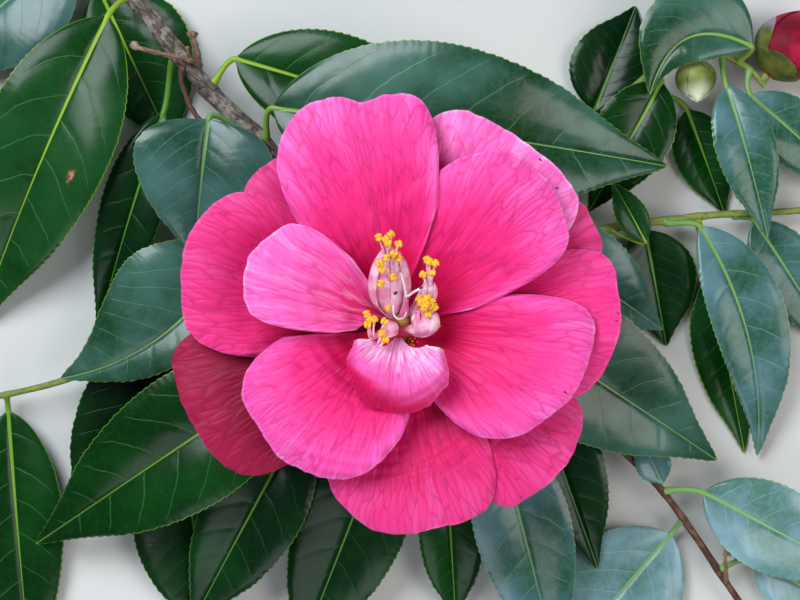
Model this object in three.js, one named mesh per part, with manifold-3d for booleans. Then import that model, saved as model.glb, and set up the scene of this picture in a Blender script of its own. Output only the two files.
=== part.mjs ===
// A cut camellia branch with one open pink bloom, two buds and its leaves, laid down face up.
// Millimetres, +Z up. The sizes below are measured from the bloom's axis, with +X to the
// right and +Y to the top as one looks down on the bloom, and z = 0 on the surface it lies on.
// The finished group is moved so that its origin is under the middle of the whole branch.

import * as THREE from 'three';
import { mergeVertices } from 'three/addons/utils/BufferGeometryUtils.js';
import Module from 'manifold-3d';

const wasm = await Module();
wasm.setup();

// Driving dimensions

const seat = 0.3; // clear space between two pieces that touch

const branchRadius = 2.6; // the main branch at its cut end
const flowerStalkRadius = 1.8; // the main branch where it carries the bloom
const twigRadius = 1.3; // a side twig where it leaves the main branch
const twigTipRadius = 0.8;
const twigStraight = 3; // a side twig leaves its branch square to it for this far

const petioleWidth = 2.2;
const petioleThickness = 1.7;
const leafThicknessShare = 0.0115; // of the length of the blade and its stalk
const leafThinnest = 0.9;
const leafTipWidth = 0.9;
const bladeRoundness = 0.75; // lower is a fuller, rounder blade
const bladeTaper = 0.25; // how much slimmer the blade is towards its tip

const petalThickness = 0.8;
const petalTuck = 0.24; // keeps the lower edge of a petal's foot clear of the receptacle
const petalStep = 1.6; // height from the face of one petal to the face of the petal that lies on it
const petalShelf = 2; // how far past its margin a petal still holds up the one on top
const petalFallRadius = 10; // bend of a petal where it comes down past the margin of the one below
const petalEasing = 0.8; // softness of the bend where one petal starts to lie on another
const petalSideWeight = 12; // makes a petal's sides count for more near the middle of the bloom
const notchWidth = 0.12; // of half the petal's spread

const receptacleFoot = { radius: 5.4, z: 40.5 };
const receptacleTop = { radius: 2.3, z: 51 };
const scaleLobes = 5;
const scaleLobeHeight = 0.9;

const anther = { length: 2.6, radius: 0.75 };
const filamentRadius = 0.32;
const filamentsPart = 0.75; // of the way up the joined filaments
const styleRadius = 0.45;
const budStalkRadius = 1.1;
const budStalkSunk = 2; // how deep a bud's stalk goes into it
const budShoulder = 0.8;
const budRoundness = 0.8;

// Materials

const finish = (color, roughness) => new THREE.MeshStandardMaterial({ color, roughness, metalness: 0 });
const bark = finish('#6f6156', 0.85);
const twigSkin = finish('#7d8a45', 0.6);
const woodyTwig = finish('#6b4a38', 0.75);
const leafSkin = finish('#1d4a2c', 0.35);
const petalSkin = finish('#e83a84', 0.6);
const stamenSkin = finish('#f0c4c8', 0.6);
const receptacleSkin = finish('#8f9c4a', 0.6);
const budScale = finish('#98a05a', 0.55);
const pinkBud = finish('#b83a58', 0.55);

// Helpers

const up = new THREE.Vector3(0, 0, 1);
const vector = (list) => new THREE.Vector3(...list);
const radians = THREE.MathUtils.degToRad;
const clamp = THREE.MathUtils.clamp;
const mix = THREE.MathUtils.lerp;

const camellia = new THREE.Group();

function addPiece(name, geometry, material) {
  const piece = new THREE.Mesh(geometry, material);
  piece.name = name;
  camellia.add(piece);
}

// Moves each vertex of a geometry to where the function puts it.
function reshape(geometry, place) {
  const position = geometry.attributes.position;
  for (let i = 0; i < position.count; i += 1) {
    const moved = place(position.getX(i), position.getY(i), position.getZ(i));
    position.setXYZ(i, moved.x, moved.y, moved.z);
  }
  geometry.computeVertexNormals();
  return geometry;
}

function solidOf(geometry) {
  geometry.deleteAttribute('normal');
  geometry.deleteAttribute('uv');
  const merged = mergeVertices(geometry, 1e-4);
  return new wasm.Manifold(new wasm.Mesh({
    numProp: 3,
    vertProperties: new Float32Array(merged.attributes.position.array),
    triVerts: new Uint32Array(merged.index.array),
  }));
}

function geometryOf(solid) {
  const mesh = solid.getMesh();
  const geometry = new THREE.BufferGeometry();
  geometry.setAttribute('position', new THREE.BufferAttribute(mesh.vertProperties, 3));
  geometry.setIndex(new THREE.BufferAttribute(mesh.triVerts, 1));
  geometry.computeVertexNormals();
  return geometry;
}

const fuse = (geometries) => geometryOf(geometries.map(solidOf).reduce((whole, piece) => whole.add(piece)));

// A round limb along a smooth line through its points, with a radius for each place on it.
function limbGeometry(curve, radiusAt, sides, steps, flatten = 1) {
  const chord = curve.getPoint(1).sub(curve.getPoint(0));
  const sideways = new THREE.Vector3().crossVectors(chord, up).normalize();
  return reshape(new THREE.CylinderGeometry(1, 1, 1, sides, steps), (x, y, z) => {
    const t = y + 0.5;
    const along = curve.getTangent(t);
    const first = sideways.clone().addScaledVector(along, -along.dot(sideways)).normalize();
    const second = new THREE.Vector3().crossVectors(first, along);
    const radius = radiusAt(t);
    return curve.getPoint(t).addScaledVector(first, x * radius).addScaledVector(second, z * radius * flatten);
  });
}

const smoothLine = (points) => new THREE.CatmullRomCurve3(points, false, 'catmullrom', 0.5);

// A turned body: each pair is a radius and a height, from the bottom to the end of the surface.
function turnedGeometry(profile, sides, lift = () => 0) {
  const rings = profile.length - 1;
  return reshape(new THREE.CylinderGeometry(1, 1, 1, sides, rings), (x, y, z) => {
    const ring = Math.round((y + 0.5) * rings);
    const [radius, height] = profile[ring];
    return new THREE.Vector3(x * radius, -z * radius, height + lift(ring, Math.atan2(-z, x)));
  });
}

// Limbs: the main branch and its side twigs

const limbs = {};

function limb({ name, from, points, radii, sides, steps, material }) {
  const line = points.map(vector);
  if (from) {
    const parent = limbs[from.limb];
    const outward = outwardFrom(parent, from.along, line[0]);
    line.unshift(rootOn(parent, from.along, outward), rootOn(parent, from.along, outward, twigStraight));
  }
  const curve = smoothLine(line);
  const radiusAt = (t) => mix(radii[0], radii[1], t);
  limbs[name] = { curve, radiusAt };
  addPiece(name, limbGeometry(curve, radiusAt, sides, steps), material);
}

// The direction square to a limb that points from it to a target.
function outwardFrom(parent, along, target) {
  const tangent = parent.curve.getTangent(along);
  const outward = target.clone().sub(parent.curve.getPoint(along));
  return outward.addScaledVector(tangent, -outward.dot(tangent)).normalize();
}

// The place just clear of a limb's skin where a twig or a leaf stalk starts.
function rootOn(parent, along, outward, further = 0) {
  const distance = parent.radiusAt(along) + seat + further;
  return parent.curve.getPoint(along).addScaledVector(outward, distance);
}

const limbSizes = [
  {
    name: 'main_branch', radii: [branchRadius, flowerStalkRadius], sides: 8, steps: 16, material: bark,
    points: [[-93, 120, 2.5], [-81, 101, 6], [-68.5, 84, 11], [-51.5, 63, 17], [-36, 47.5, 21],
      [-19.5, 28.5, 22.5], [-5.5, 10, 23.5], [-0.5, 1, 28], [0, 0, 34]],
  },
  {
    name: 'twig_left', from: { limb: 'main_branch', along: 0.6 }, radii: [twigRadius, twigTipRadius],
    sides: 6, steps: 10, material: twigSkin,
    points: [[-36, 20, 19], [-52, 0, 14], [-70, -8, 10.5], [-92, -16, 9], [-111, -20.5, 8]],
  },
  {
    name: 'twig_lower_left', from: { limb: 'main_branch', along: 0.7 }, radii: [twigRadius, twigTipRadius],
    sides: 6, steps: 10, material: twigSkin,
    points: [[-18, 3.5, 20], [-26, -14.5, 17], [-41.5, -27, 12], [-54.5, -33.5, 9]],
  },
  {
    name: 'twig_bottom', from: { limb: 'main_branch', along: 0.8 }, radii: [twigRadius, twigTipRadius],
    sides: 6, steps: 10, material: twigSkin,
    points: [[0.5, -7, 20], [7, -24.5, 16], [11.5, -39, 12]],
  },
  {
    name: 'twig_right', from: { limb: 'main_branch', along: 0.76 }, radii: [twigRadius, twigTipRadius],
    sides: 6, steps: 14, material: woodyTwig,
    points: [[8, 8.5, 21], [28, -6, 17], [48.5, -24, 12], [68, -42, 9], [79, -56, 8], [93, -76.5, 5],
      [105, -92.5, 4]],
  },
  {
    name: 'twig_upper_right', from: { limb: 'main_branch', along: 0.7 }, radii: [twigRadius, twigTipRadius],
    sides: 6, steps: 14, material: twigSkin,
    points: [[8, 18.5, 20], [32, 20, 15], [57, 25.5, 10], [79, 28.5, 8], [91, 29.5, 7], [109, 30.5, 6],
      [122.5, 32.5, 6]],
  },
  {
    name: 'twig_buds', from: { limb: 'main_branch', along: 0.62 }, radii: [twigRadius, twigTipRadius],
    sides: 6, steps: 14, material: twigSkin,
    points: [[5.5, 32.5, 19], [32, 42, 13], [54, 55, 9], [72, 70.5, 8], [83, 73.5, 9], [93.5, 69.5, 9],
      [99, 64, 9]],
  },
];
limbSizes.forEach(limb);

// Leaves: a stalk that widens into a pointed blade, folded along its midrib and arched

const stalkRows = 2;
const bladeRows = 8;
const bladeColumns = 4;
const waveTurns = 9; // radians of ripple along the blade

// arch, sweep, fold and wave are shares of the blade's length or half width; halves are the
// widths to the right and to the left of the midrib, looking along it from above.
const leafDefaults = {
  arch: 0.08, sweep: 0, fold: 0.1, wave: 0.035, shoulder: 0.8, halves: [1, 1],
};

const leafSizes = [
  { name: 'leaf_top', limb: 'main_branch', along: 0.5, base: [-32.5, 56, 29], tip: [71, 41.5, 20],
    width: 46 },
  { name: 'leaf_top_back', limb: 'main_branch', along: 0.38, base: [-43, 70, 19], tip: [24, 49.5, 13],
    width: 30 },
  { name: 'leaf_upper_left', limb: 'main_branch', along: 0.22, base: [-77.5, 81, 19], tip: [-116, -2, 1],
    width: 36 },
  { name: 'leaf_corner', limb: 'main_branch', along: 0.1, base: [-89, 100, 10], tip: [-130, 68, 1],
    width: 36 },
  { name: 'leaf_behind_branch', limb: 'main_branch', along: 0.15, base: [-82, 91, 4], tip: [-61.5, 47, 0.6],
    width: 28, arch: 0.02, halves: [0.9, 1.3] },
  { name: 'leaf_inner_left', limb: 'main_branch', along: 0.48, base: [-49.5, 53, 29], tip: [-54, 16.5, 21],
    width: 37, shoulder: 0.6 },
  { name: 'leaf_left_shade', limb: 'main_branch', along: 0.32, base: [-63.5, 56, 12], tip: [-83, -3.5, 1],
    width: 18 },
  { name: 'leaf_left', limb: 'twig_left', along: 0.16, base: [-43, 22, 17.4], tip: [-91, -15, 13], width: 44,
    arch: 0.07, sweep: -0.13, halves: [1, 0.45] },
  { name: 'leaf_left_under', limb: 'twig_left', along: 0.4, base: [-57, -4, 5.5], tip: [-90, -54, 0.6],
    width: 34, arch: 0.03 },
  { name: 'leaf_lower_left', limb: 'twig_lower_left', along: 0.34, base: [-26, -11, 25], tip: [-98.5, -60, 8],
    width: 37 },
  { name: 'leaf_far_left', limb: 'twig_left', along: 0.96, base: [-106.5, -24.5, 5], tip: [-101, -98, 0.6],
    width: 27, arch: 0.02 },
  { name: 'leaf_bottom_far_left', limb: 'twig_lower_left', along: 0.96, base: [-58, -37.5, 7],
    tip: [-52.5, -87, 0.6], width: 34, arch: 0.02 },
  { name: 'leaf_bottom_left', limb: 'twig_lower_left', along: 0.5, base: [-26, -26, 18], tip: [-57, -83, 6],
    width: 28 },
  { name: 'leaf_bottom', limb: 'twig_bottom', along: 0.34, base: [-2, -25.5, 17], tip: [-28.5, -94, 0.6],
    width: 31, arch: 0.05 },
  { name: 'leaf_bottom_centre', limb: 'twig_bottom', along: 0.96, base: [13, -42.5, 10], tip: [15.5, -82, 1],
    width: 18 },
  { name: 'leaf_bottom_right', limb: 'twig_bottom', along: 0.67, base: [26, -28, 19], tip: [43, -94, 5],
    width: 27 },
  { name: 'leaf_right_low', limb: 'twig_right', along: 0.3, base: [37, -20, 10], tip: [54, -67, 7],
    width: 24, arch: 0.04 },
  { name: 'leaf_right', limb: 'twig_right', along: 0.16, base: [20.5, 6, 27], tip: [85.5, -37, 12],
    width: 37 },
  { name: 'leaf_right_back', limb: 'twig_upper_right', along: 0.28, base: [33.5, 23.5, 18],
    tip: [71.5, -2, 8], width: 26 },
  { name: 'leaf_upper_right', limb: 'twig_buds', along: 0.55, base: [70.5, 64.5, 12], tip: [51.5, 30, 6],
    width: 22 },
  { name: 'leaf_upper_right_back', limb: 'twig_buds', along: 0.42, base: [53.5, 58, 2.0], tip: [65, 87, 0.6],
    width: 24, arch: 0.02 },
  { name: 'leaf_bud_cover', limb: 'twig_buds', along: 0.85, base: [94, 74, 15], tip: [67, 61, 16],
    width: 30, sweep: 0.3, halves: [1, 0.3] },
  { name: 'leaf_beside_bud', limb: 'twig_buds', along: 0.57, base: [79, 58, 2.2], tip: [89.5, 29.5, 1],
    width: 17, arch: 0.02 },
  { name: 'leaf_below_bud', limb: 'twig_buds', along: 0.8, base: [88, 63.5, 12], tip: [99.5, 23, 10],
    width: 17 },
  { name: 'leaf_right_top', limb: 'twig_buds', along: 0.9, base: [95, 61, 10.5], tip: [124, 36, 3],
    width: 18 },
  { name: 'leaf_right_large', limb: 'twig_upper_right', along: 0.58, base: [81.5, 25.5, 10],
    tip: [98, -36.5, 3], width: 21, sweep: -0.07, halves: [0.85, 1.15] },
  { name: 'leaf_right_edge', limb: 'twig_upper_right', along: 0.75, base: [97, 27.5, 5],
    tip: [120.5, -8, 0.6], width: 19, arch: 0.04 },
  { name: 'leaf_right_middle', limb: 'twig_upper_right', along: 0.48, base: [67, 25, 6], tip: [73.5, -6.5, 1],
    width: 24, arch: 0.02 },
  { name: 'leaf_low_right', limb: 'twig_right', along: 0.66, base: [82.5, -46, 10], tip: [127, -69.5, 4],
    width: 25 },
  { name: 'leaf_low_right_front', limb: 'twig_right', along: 0.73, base: [74, -58, 4],
    tip: [38, -100, 0.6], width: 35, arch: 0.02, fold: 0.04 },
  { name: 'leaf_low_right_end', limb: 'twig_right', along: 0.82, base: [97.5, -65, 4], tip: [130, -83.5, 0.6],
    width: 20, arch: 0.01 },
];

// Half the blade's width, as a share of its widest, from its base at 0 to its drawn-out tip at 1.
function bladeOutline(t, shoulder) {
  return Math.sin(Math.PI * t ** shoulder) ** bladeRoundness * (1 - bladeTaper * t * t);
}

function leaf(size) {
  const { name, limb: parentName, along, base, tip, width, arch, sweep, fold, wave, shoulder,
    halves } = { ...leafDefaults, ...size };
  const parent = limbs[parentName];
  const foot = vector(base);
  const end = vector(tip);
  const length = foot.distanceTo(end);
  const sideways = new THREE.Vector3().crossVectors(end.clone().sub(foot), up).normalize();
  const middle = foot.clone().add(end).multiplyScalar(0.5);
  middle.addScaledVector(sideways, 2 * sweep * length).addScaledVector(up, 2 * arch * length);
  const blade = new THREE.QuadraticBezierCurve3(foot, middle, end);

  const outward = outwardFrom(parent, along, foot);
  const root = rootOn(parent, along, outward);
  const reach = root.distanceTo(foot) / 3;
  const stalk = new THREE.CubicBezierCurve3(
    root,
    root.clone().addScaledVector(outward, reach),
    foot.clone().addScaledVector(blade.getTangent(0), -reach),
    foot,
  );

  const thickness = Math.max(leafThinnest, leafThicknessShare * (length + root.distanceTo(foot)));
  const rows = stalkRows + bladeRows;
  addPiece(name, reshape(new THREE.BoxGeometry(2, rows, 1, bladeColumns, rows, 1), (across, y, side) => {
    const row = Math.round(y + rows / 2);
    const onStalk = row <= stalkRows;
    const curve = onStalk ? stalk : blade;
    const t = onStalk ? row / stalkRows : (row - stalkRows) / bladeRows;
    const tangent = curve.getTangent(t);
    const flat = new THREE.Vector3().crossVectors(tangent, up).normalize();
    const normal = new THREE.Vector3().crossVectors(flat, tangent);
    const outline = onStalk ? 0 : bladeOutline(t, shoulder) * halves[across > 0 ? 0 : 1] * width / 2;
    const narrow = onStalk ? petioleWidth / 2 : mix(petioleWidth, leafTipWidth, t) / 2;
    const half = Math.max(outline, narrow);
    const depth = onStalk ? mix(petioleThickness, thickness, t) : thickness;
    const ripple = wave * outline * across * Math.sin(waveTurns * t);
    return curve.getPoint(t)
      .addScaledVector(flat, across * half)
      .addScaledVector(normal, Math.abs(across) * half * fold + ripple + side * depth);
  }), leafSkin);
}
leafSizes.forEach(leaf);

// The receptacle with its cup of bud scales, on the end of the main branch

const receptacleProfile = [
  [1.5, 34.3], [4.5, 34.6], [7.6, 36.4], [9.2, 39.6], [8.6, 40.0], [6.4, 37.9],
  [receptacleFoot.radius, 38.6], [receptacleFoot.radius, receptacleFoot.z],
  [receptacleTop.radius, receptacleTop.z],
];
const rimRings = [3, 4];
addPiece('receptacle', turnedGeometry(receptacleProfile, 20, (ring, angle) => (
  rimRings.includes(ring) ? scaleLobeHeight * Math.cos(scaleLobes * angle) : 0
)), receptacleSkin);

function receptacleRadius(z) {
  const share = clamp((z - receptacleFoot.z) / (receptacleTop.z - receptacleFoot.z), 0, 1);
  return mix(receptacleFoot.radius, receptacleTop.radius, share);
}

// Petals, from the back of the bloom to the front. Each is a fan from the bloom's axis: its
// bearing and spread in degrees, and how far it reaches at seven even steps across the fan. An
// inset is how far from the axis its lower edge starts, at the same steps.

const petalDefaults = {
  rise: 1.25, cup: -1, recurve: 2.5, ruffle: 1.1, waves: 1.5, phase: 0, notch: 0, crease: 0, notchAt: 0,
};

const petalSizes = [
  { name: 'petal_back_right', bearing: 30, spread: 24, base: 42, rim: 52.5,
    reach: [40, 50, 54.5, 54.8, 53, 48, 38] },
  { name: 'petal_back_left', bearing: 130, spread: 24, base: 42.2, rim: 53.5,
    reach: [42, 48, 50.5, 51.6, 51.2, 48, 40] },
  { name: 'petal_outer_lower_left', bearing: 206, spread: 30, base: 42.4, rim: 53.5, phase: 1,
    reach: [44, 55.8, 57.4, 57, 56.3, 52.2, 40] },
  { name: 'petal_outer_lower_right', bearing: 318, spread: 26, base: 42.6, rim: 53.5, phase: 2,
    reach: [44, 52.4, 53.8, 54, 53.5, 50, 38] },
  { name: 'petal_outer_bottom', bearing: 270, spread: 38, base: 43, rim: 56, phase: 0.5,
    reach: [32, 41.5, 49.4, 52, 51.3, 50.8, 42] },
  { name: 'petal_outer_upper_right', bearing: 55, spread: 33, base: 43.4, rim: 58.5, phase: 2.4,
    reach: [38, 53, 54.8, 54.4, 55, 54.6, 46] },
  { name: 'petal_outer_right', bearing: -2, spread: 30, base: 43.8, rim: 56.5, phase: 1.2,
    reach: [38, 47.5, 52.3, 54.6, 55.1, 54.5, 42] },
  { name: 'petal_outer_left', bearing: 162, spread: 32, base: 44.4, rim: 58.5, phase: 3,
    reach: [40, 51, 55.4, 56, 54.2, 51, 40] },
  { name: 'petal_inner_lower_right', bearing: -25, spread: 45, base: 45.6, rim: 62, rise: 2, cup: -2.5,
    recurve: 3, phase: 1, reach: [18, 33.8, 40.4, 44.6, 47.6, 45.5, 24] },
  { name: 'petal_inner_upper_right', bearing: 46, spread: 34, base: 46.2, rim: 64, rise: 1.8, cup: -2,
    recurve: 3, reach: [22, 43.5, 48.4, 50.8, 49.6, 44.5, 37] },
  { name: 'petal_inner_top', bearing: 105, spread: 33, base: 46.8, rim: 64.4, rise: 1.8, cup: -2, recurve: 3,
    phase: 2, notch: 2.6, crease: 1.2, notchAt: -0.17, reach: [36, 53.5, 56.8, 57.5, 57.3, 49, 33] },
  { name: 'petal_inner_lower_left', bearing: 234, spread: 48, base: 47.4, rim: 62, rise: 2, cup: -2.5,
    recurve: 3, phase: 4, reach: [33.5, 41, 43, 43.2, 40.2, 31.5, 20] },
  { name: 'petal_inner_left', bearing: 156, spread: 31, base: 48.4, rim: 67, rise: 1.9, cup: 1, phase: 2,
    reach: [23, 34.8, 38.2, 39.5, 39, 34.8, 19] },
  { name: 'petaloid', bearing: 265, spread: 66, base: 50, rim: 69, rise: 2.6, cup: 0, recurve: 6,
    ruffle: 0.5, reach: [11.5, 16.2, 19.9, 21.6, 21, 18.1, 12], inset: [7, 6.7, 5, 2.6, 3.4, 5.5, 7.5] },
].map((size) => ({ ...petalDefaults, ...size }));

const smoothMax = (a, b) => 0.5 * (a + b + Math.hypot(a - b, petalEasing));

// A smooth value from a list of values at even steps, at a share across the fan, from -1 to 1.
function acrossFan(values, share) {
  const steps = values.length - 1;
  const place = clamp((share + 1) / 2, 0, 1) * steps;
  const cell = Math.min(Math.floor(place), steps - 1);
  const at = (i) => values[clamp(i, 0, steps)];
  const [a, b, c, d] = [at(cell - 1), at(cell), at(cell + 1), at(cell + 2)];
  const f = place - cell;
  return b + 0.5 * f * (c - a + f * (2 * a - 5 * b + 4 * c - d + f * (3 * (b - c) + d - a)));
}

const petalReach = (petal, share) => acrossFan(petal.reach, share) - petal.notch * notchAt(petal, share);
const notchAt = (petal, share) => Math.exp(-(((share - petal.notchAt) / notchWidth) ** 2));
const petalFoot = (petal) => receptacleRadius(petal.base) + seat;

function petalShare(petal, angle) {
  const turned = THREE.MathUtils.euclideanModulo(angle - petal.bearing + 180, 360) - 180;
  return turned / petal.spread;
}

// The height of a petal by itself, before it lies on its neighbours.
function petalOwnHeight(petal, share, radius) {
  const foot = petalFoot(petal);
  const out = clamp((radius - foot) / (Math.max(...petal.reach) - foot), 0, 1);
  const across = clamp(share, -1, 1);
  const climb = 1 - (1 - out) ** petal.rise;
  return petal.base + (petal.rim - petal.base) * climb - petal.recurve * out ** 4
    + petal.cup * across * across * out - petal.crease * out * notchAt(petal, across)
    + petal.ruffle * out ** 3 * Math.sin(petal.waves * Math.PI * across + petal.phase);
}

// How far a place lies past a petal's margin.
function petalPast(petal, share, radius) {
  const beside = (radius + petalSideWeight) * radians(petal.spread) * Math.max(Math.abs(share) - 1, 0);
  const beyond = Math.max(radius - petalReach(petal, share), 0);
  return Math.max(Math.hypot(beside, beyond) - petalShelf, 0);
}

// The height of the petal with this number, lying on all the petals behind it.
function petalHeight(number, angle, radius) {
  let below = -1000;
  let height = 0;
  for (const petal of petalSizes.slice(0, number + 1)) {
    const share = petalShare(petal, angle);
    height = smoothMax(petalOwnHeight(petal, share, radius), below + petalStep);
    const past = petalPast(petal, share, radius);
    below = smoothMax(below, height - past * past / (2 * petalFallRadius));
  }
  return height;
}

const petalColumns = 8;
const petalRows = 7;
petalSizes.forEach((petal, number) => {
  addPiece(petal.name, reshape(new THREE.BoxGeometry(2, 1, 1, petalColumns, petalRows, 1), (x, y, side) => {
    const share = -0.5 * (x + Math.sin(0.5 * Math.PI * x));
    const angle = petal.bearing + share * petal.spread;
    const footHeight = petalHeight(number, angle, petalFoot(petal));
    const inset = petal.inset ? acrossFan(petal.inset, share) : 0;
    const foot = Math.max(receptacleRadius(footHeight) + seat + petalTuck, inset);
    const radius = mix(foot, petalReach(petal, share), y + 0.5);
    const height = petalHeight(number, angle, radius) + side * petalThickness;
    const turn = radians(angle);
    return new THREE.Vector3(radius * Math.cos(turn), radius * Math.sin(turn), height);
  }), petalSkin);
});

// Stamens: four bundles of joined filaments with loose yellow anthers, and the pistil

const stamenSizes = [
  {
    name: 'stamens_upper_left', path: [[-1.1, 1.2, 51.6], [-1.5, 7, 57], [-2.5, 14, 64], [-3, 17.5, 67.5]],
    radii: [1.2, 4.2], flatten: 0.55,
    anthers: [[-4.8, 21.0, 71], [-1.9, 21.7, 72], [-0.1, 19.4, 72], [-1.3, 17.0, 71], [-3.0, 16.1, 71],
      [-0.2, 16.1, 70], [-4.6, 14.9, 70], [-4.1, 13.3, 69.5], [-1.4, 11.6, 68], [-4.4, 10.0, 66.5]],
  },
  {
    name: 'stamens_right', path: [[1.3, 1.3, 51.6], [4.2, 5.5, 57], [6.8, 10, 62.5]],
    radii: [0.8, 1.9], flatten: 0.6,
    anthers: [[6.8, 15.9, 68], [8.6, 14.7, 68], [7.9, 12.7, 67], [5.8, 12.2, 66.5]],
  },
  {
    name: 'stamens_lower_right', path: [[1.3, -0.9, 51.6], [3.4, -0.8, 57], [6.2, 1.4, 61.5]],
    radii: [0.8, 2.6], flatten: 0.7,
    anthers: [[6.4, 5.7, 64.5], [7.6, 4.6, 64], [7.0, 2.7, 64]],
  },
  {
    name: 'stamens_lower_left', path: [[-1.1, -0.7, 51.6], [-3.0, -0.8, 57], [-6.2, 0.6, 60.5]],
    radii: [0.8, 2.4], flatten: 0.7,
    anthers: [[-7.8, 2.3, 63.5], [-6.1, 1.4, 64], [-3.5, 1.0, 63], [-7.5, -0.1, 63], [-4.0, -2.0, 62.5]],
  },
];

function stamens({ name, path, radii, flatten, anthers }) {
  const curve = smoothLine(path.map(vector));
  const radiusAt = (t) => mix(radii[0], radii[1], Math.sin(0.5 * Math.PI * t));
  const pieces = [limbGeometry(curve, radiusAt, 10, 5, flatten)];
  const upright = new THREE.Quaternion().setFromUnitVectors(new THREE.Vector3(0, 1, 0), curve.getTangent(1));
  anthers.map(vector).forEach((place) => {
    const stem = new THREE.LineCurve3(curve.getPoint(filamentsPart), place);
    pieces.push(limbGeometry(stem, () => filamentRadius, 4, 1));
    pieces.push(reshape(new THREE.SphereGeometry(1, 5, 4), (x, y, z) => (
      new THREE.Vector3(x * anther.radius, y * anther.length / 2, z * anther.radius)
        .applyQuaternion(upright).add(place)
    )));
  });
  addPiece(name, fuse(pieces), stamenSkin);
}
stamenSizes.forEach(stamens);

const styleFork = [1.9, 6.7, 62.5];
const styleLines = [
  [[0.1, 0.2, 51.5], [0.8, 2.6, 56], styleFork],
  [styleFork, [1.2, 9.6, 65], [0.6, 12.6, 67]],
  [styleFork, [3.4, 7.8, 65], [4.9, 9.1, 66]],
];
addPiece('pistil', fuse(styleLines.map((line) => (
  limbGeometry(smoothLine(line.map(vector)), () => styleRadius, 6, 4)
))), stamenSkin);

// Buds on the upper right twig

function bud({ name, limb: parentName, along, point, length, width, material }) {
  const parent = limbs[parentName];
  const tip = vector(point);
  const root = rootOn(parent, along, outwardFrom(parent, along, tip), seat);
  const axis = tip.clone().sub(root).normalize();
  const base = tip.clone().addScaledVector(axis, -length);
  const turn = new THREE.Quaternion().setFromUnitVectors(new THREE.Vector3(0, 1, 0), axis);
  const body = reshape(new THREE.SphereGeometry(1, 12, 9), (x, y, z) => {
    const share = (y + 1) / 2;
    const ring = Math.hypot(x, z);
    const radius = ring < 1e-6 ? 0 : width / 2 * Math.sin(Math.PI * share ** budShoulder) ** budRoundness;
    const round = ring < 1e-6 ? 0 : radius / ring;
    return new THREE.Vector3(x * round, share * length, z * round).applyQuaternion(turn).add(base);
  });
  const stalk = new THREE.LineCurve3(root, base.clone().addScaledVector(axis, budStalkSunk));
  addPiece(name, fuse([body, limbGeometry(stalk, () => budStalkRadius, 6, 1)]), material);
}

bud({
  name: 'bud_green', limb: 'twig_buds', along: 0.71, point: [79.9, 59.2, 15], length: 12.5, width: 11,
  material: budScale,
});
bud({
  name: 'bud_pink', limb: 'twig_buds', along: 0.97, point: [113, 84, 11], length: 22, width: 19,
  material: pinkBud,
});

// The origin goes under the middle of the branch, on the surface it lies on.

const extent = new THREE.Box3().setFromObject(camellia, true);
const middleOfAll = extent.getCenter(new THREE.Vector3());
camellia.position.set(-middleOfAll.x, -middleOfAll.y, -extent.min.z);
camellia.updateMatrixWorld(true);

export default camellia;
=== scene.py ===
import math

import bmesh
import bpy
import numpy as np
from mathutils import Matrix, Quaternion, Vector, noise


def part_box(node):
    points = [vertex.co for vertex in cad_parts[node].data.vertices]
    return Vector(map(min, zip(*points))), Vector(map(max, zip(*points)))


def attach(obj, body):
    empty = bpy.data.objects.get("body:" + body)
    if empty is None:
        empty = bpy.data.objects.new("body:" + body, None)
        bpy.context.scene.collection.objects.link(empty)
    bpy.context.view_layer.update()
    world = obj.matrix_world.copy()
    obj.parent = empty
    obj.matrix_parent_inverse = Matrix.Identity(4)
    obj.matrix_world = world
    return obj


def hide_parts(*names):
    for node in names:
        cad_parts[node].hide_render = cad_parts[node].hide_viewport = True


# A cut camellia branch lying face up, with one open bloom. Shapes are worked out in millimetres from
# the bloom's own axis, x to the right and y to the top of the picture, and moved into the frame last.

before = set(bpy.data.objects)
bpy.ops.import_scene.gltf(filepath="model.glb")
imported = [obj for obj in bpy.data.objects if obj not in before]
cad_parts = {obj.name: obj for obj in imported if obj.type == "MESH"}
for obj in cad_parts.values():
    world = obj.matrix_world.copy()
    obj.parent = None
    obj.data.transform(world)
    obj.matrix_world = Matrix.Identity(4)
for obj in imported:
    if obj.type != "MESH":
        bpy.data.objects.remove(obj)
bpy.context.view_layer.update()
print("frame loaded")

mm = 0.001
up = Vector((0, 0, 1))
receptacleUnderside = 34.3  # height of the receptacle's foot above the floor
cupLow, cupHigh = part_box("receptacle")
bloomAxis = Vector(((cupLow.x + cupHigh.x) / 2, (cupLow.y + cupHigh.y) / 2,
                    cupLow.z - receptacleUnderside * mm))


def place(point):
    return bloomAxis + Vector(point) * mm


def mix(a, b, t):
    return a + (b - a) * t


def limit(value, low=0.0, high=1.0):
    return max(low, min(high, value))


def ease(value, start, end):
    t = limit((value - start) / (end - start))
    return t * t * (3 - 2 * t)


def addObject(name, data, at=(0, 0, 0)):
    made = bpy.data.objects.new(name, data)
    made.location = at
    bpy.context.scene.collection.objects.link(made)
    return made


# Camera and light

cameraSettings = {"lens": 85, "at": (0.24, 6.1, 520)}
lightAim = (0, 0, 30)
lightSettings = {
    "window": {"at": (-330, 330, 620), "size": 420, "power": 6.0, "color": (0.88, 0.95, 1.0)},
    "fill": {"at": (420, -60, 520), "size": 380, "power": 1.9, "color": (1.0, 0.97, 0.93)},
    "low": {"at": (-80, -480, 420), "size": 360, "power": 0.9, "color": (0.95, 0.98, 1.0)},
}
skySettings = {"Color": (0.80, 0.88, 1.0, 1), "Strength": 0.14}


def addCamera():
    data = bpy.data.cameras.new("camera")
    data.lens = cameraSettings["lens"]
    bpy.context.scene.camera = addObject("camera", data, place(cameraSettings["at"]))


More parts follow.
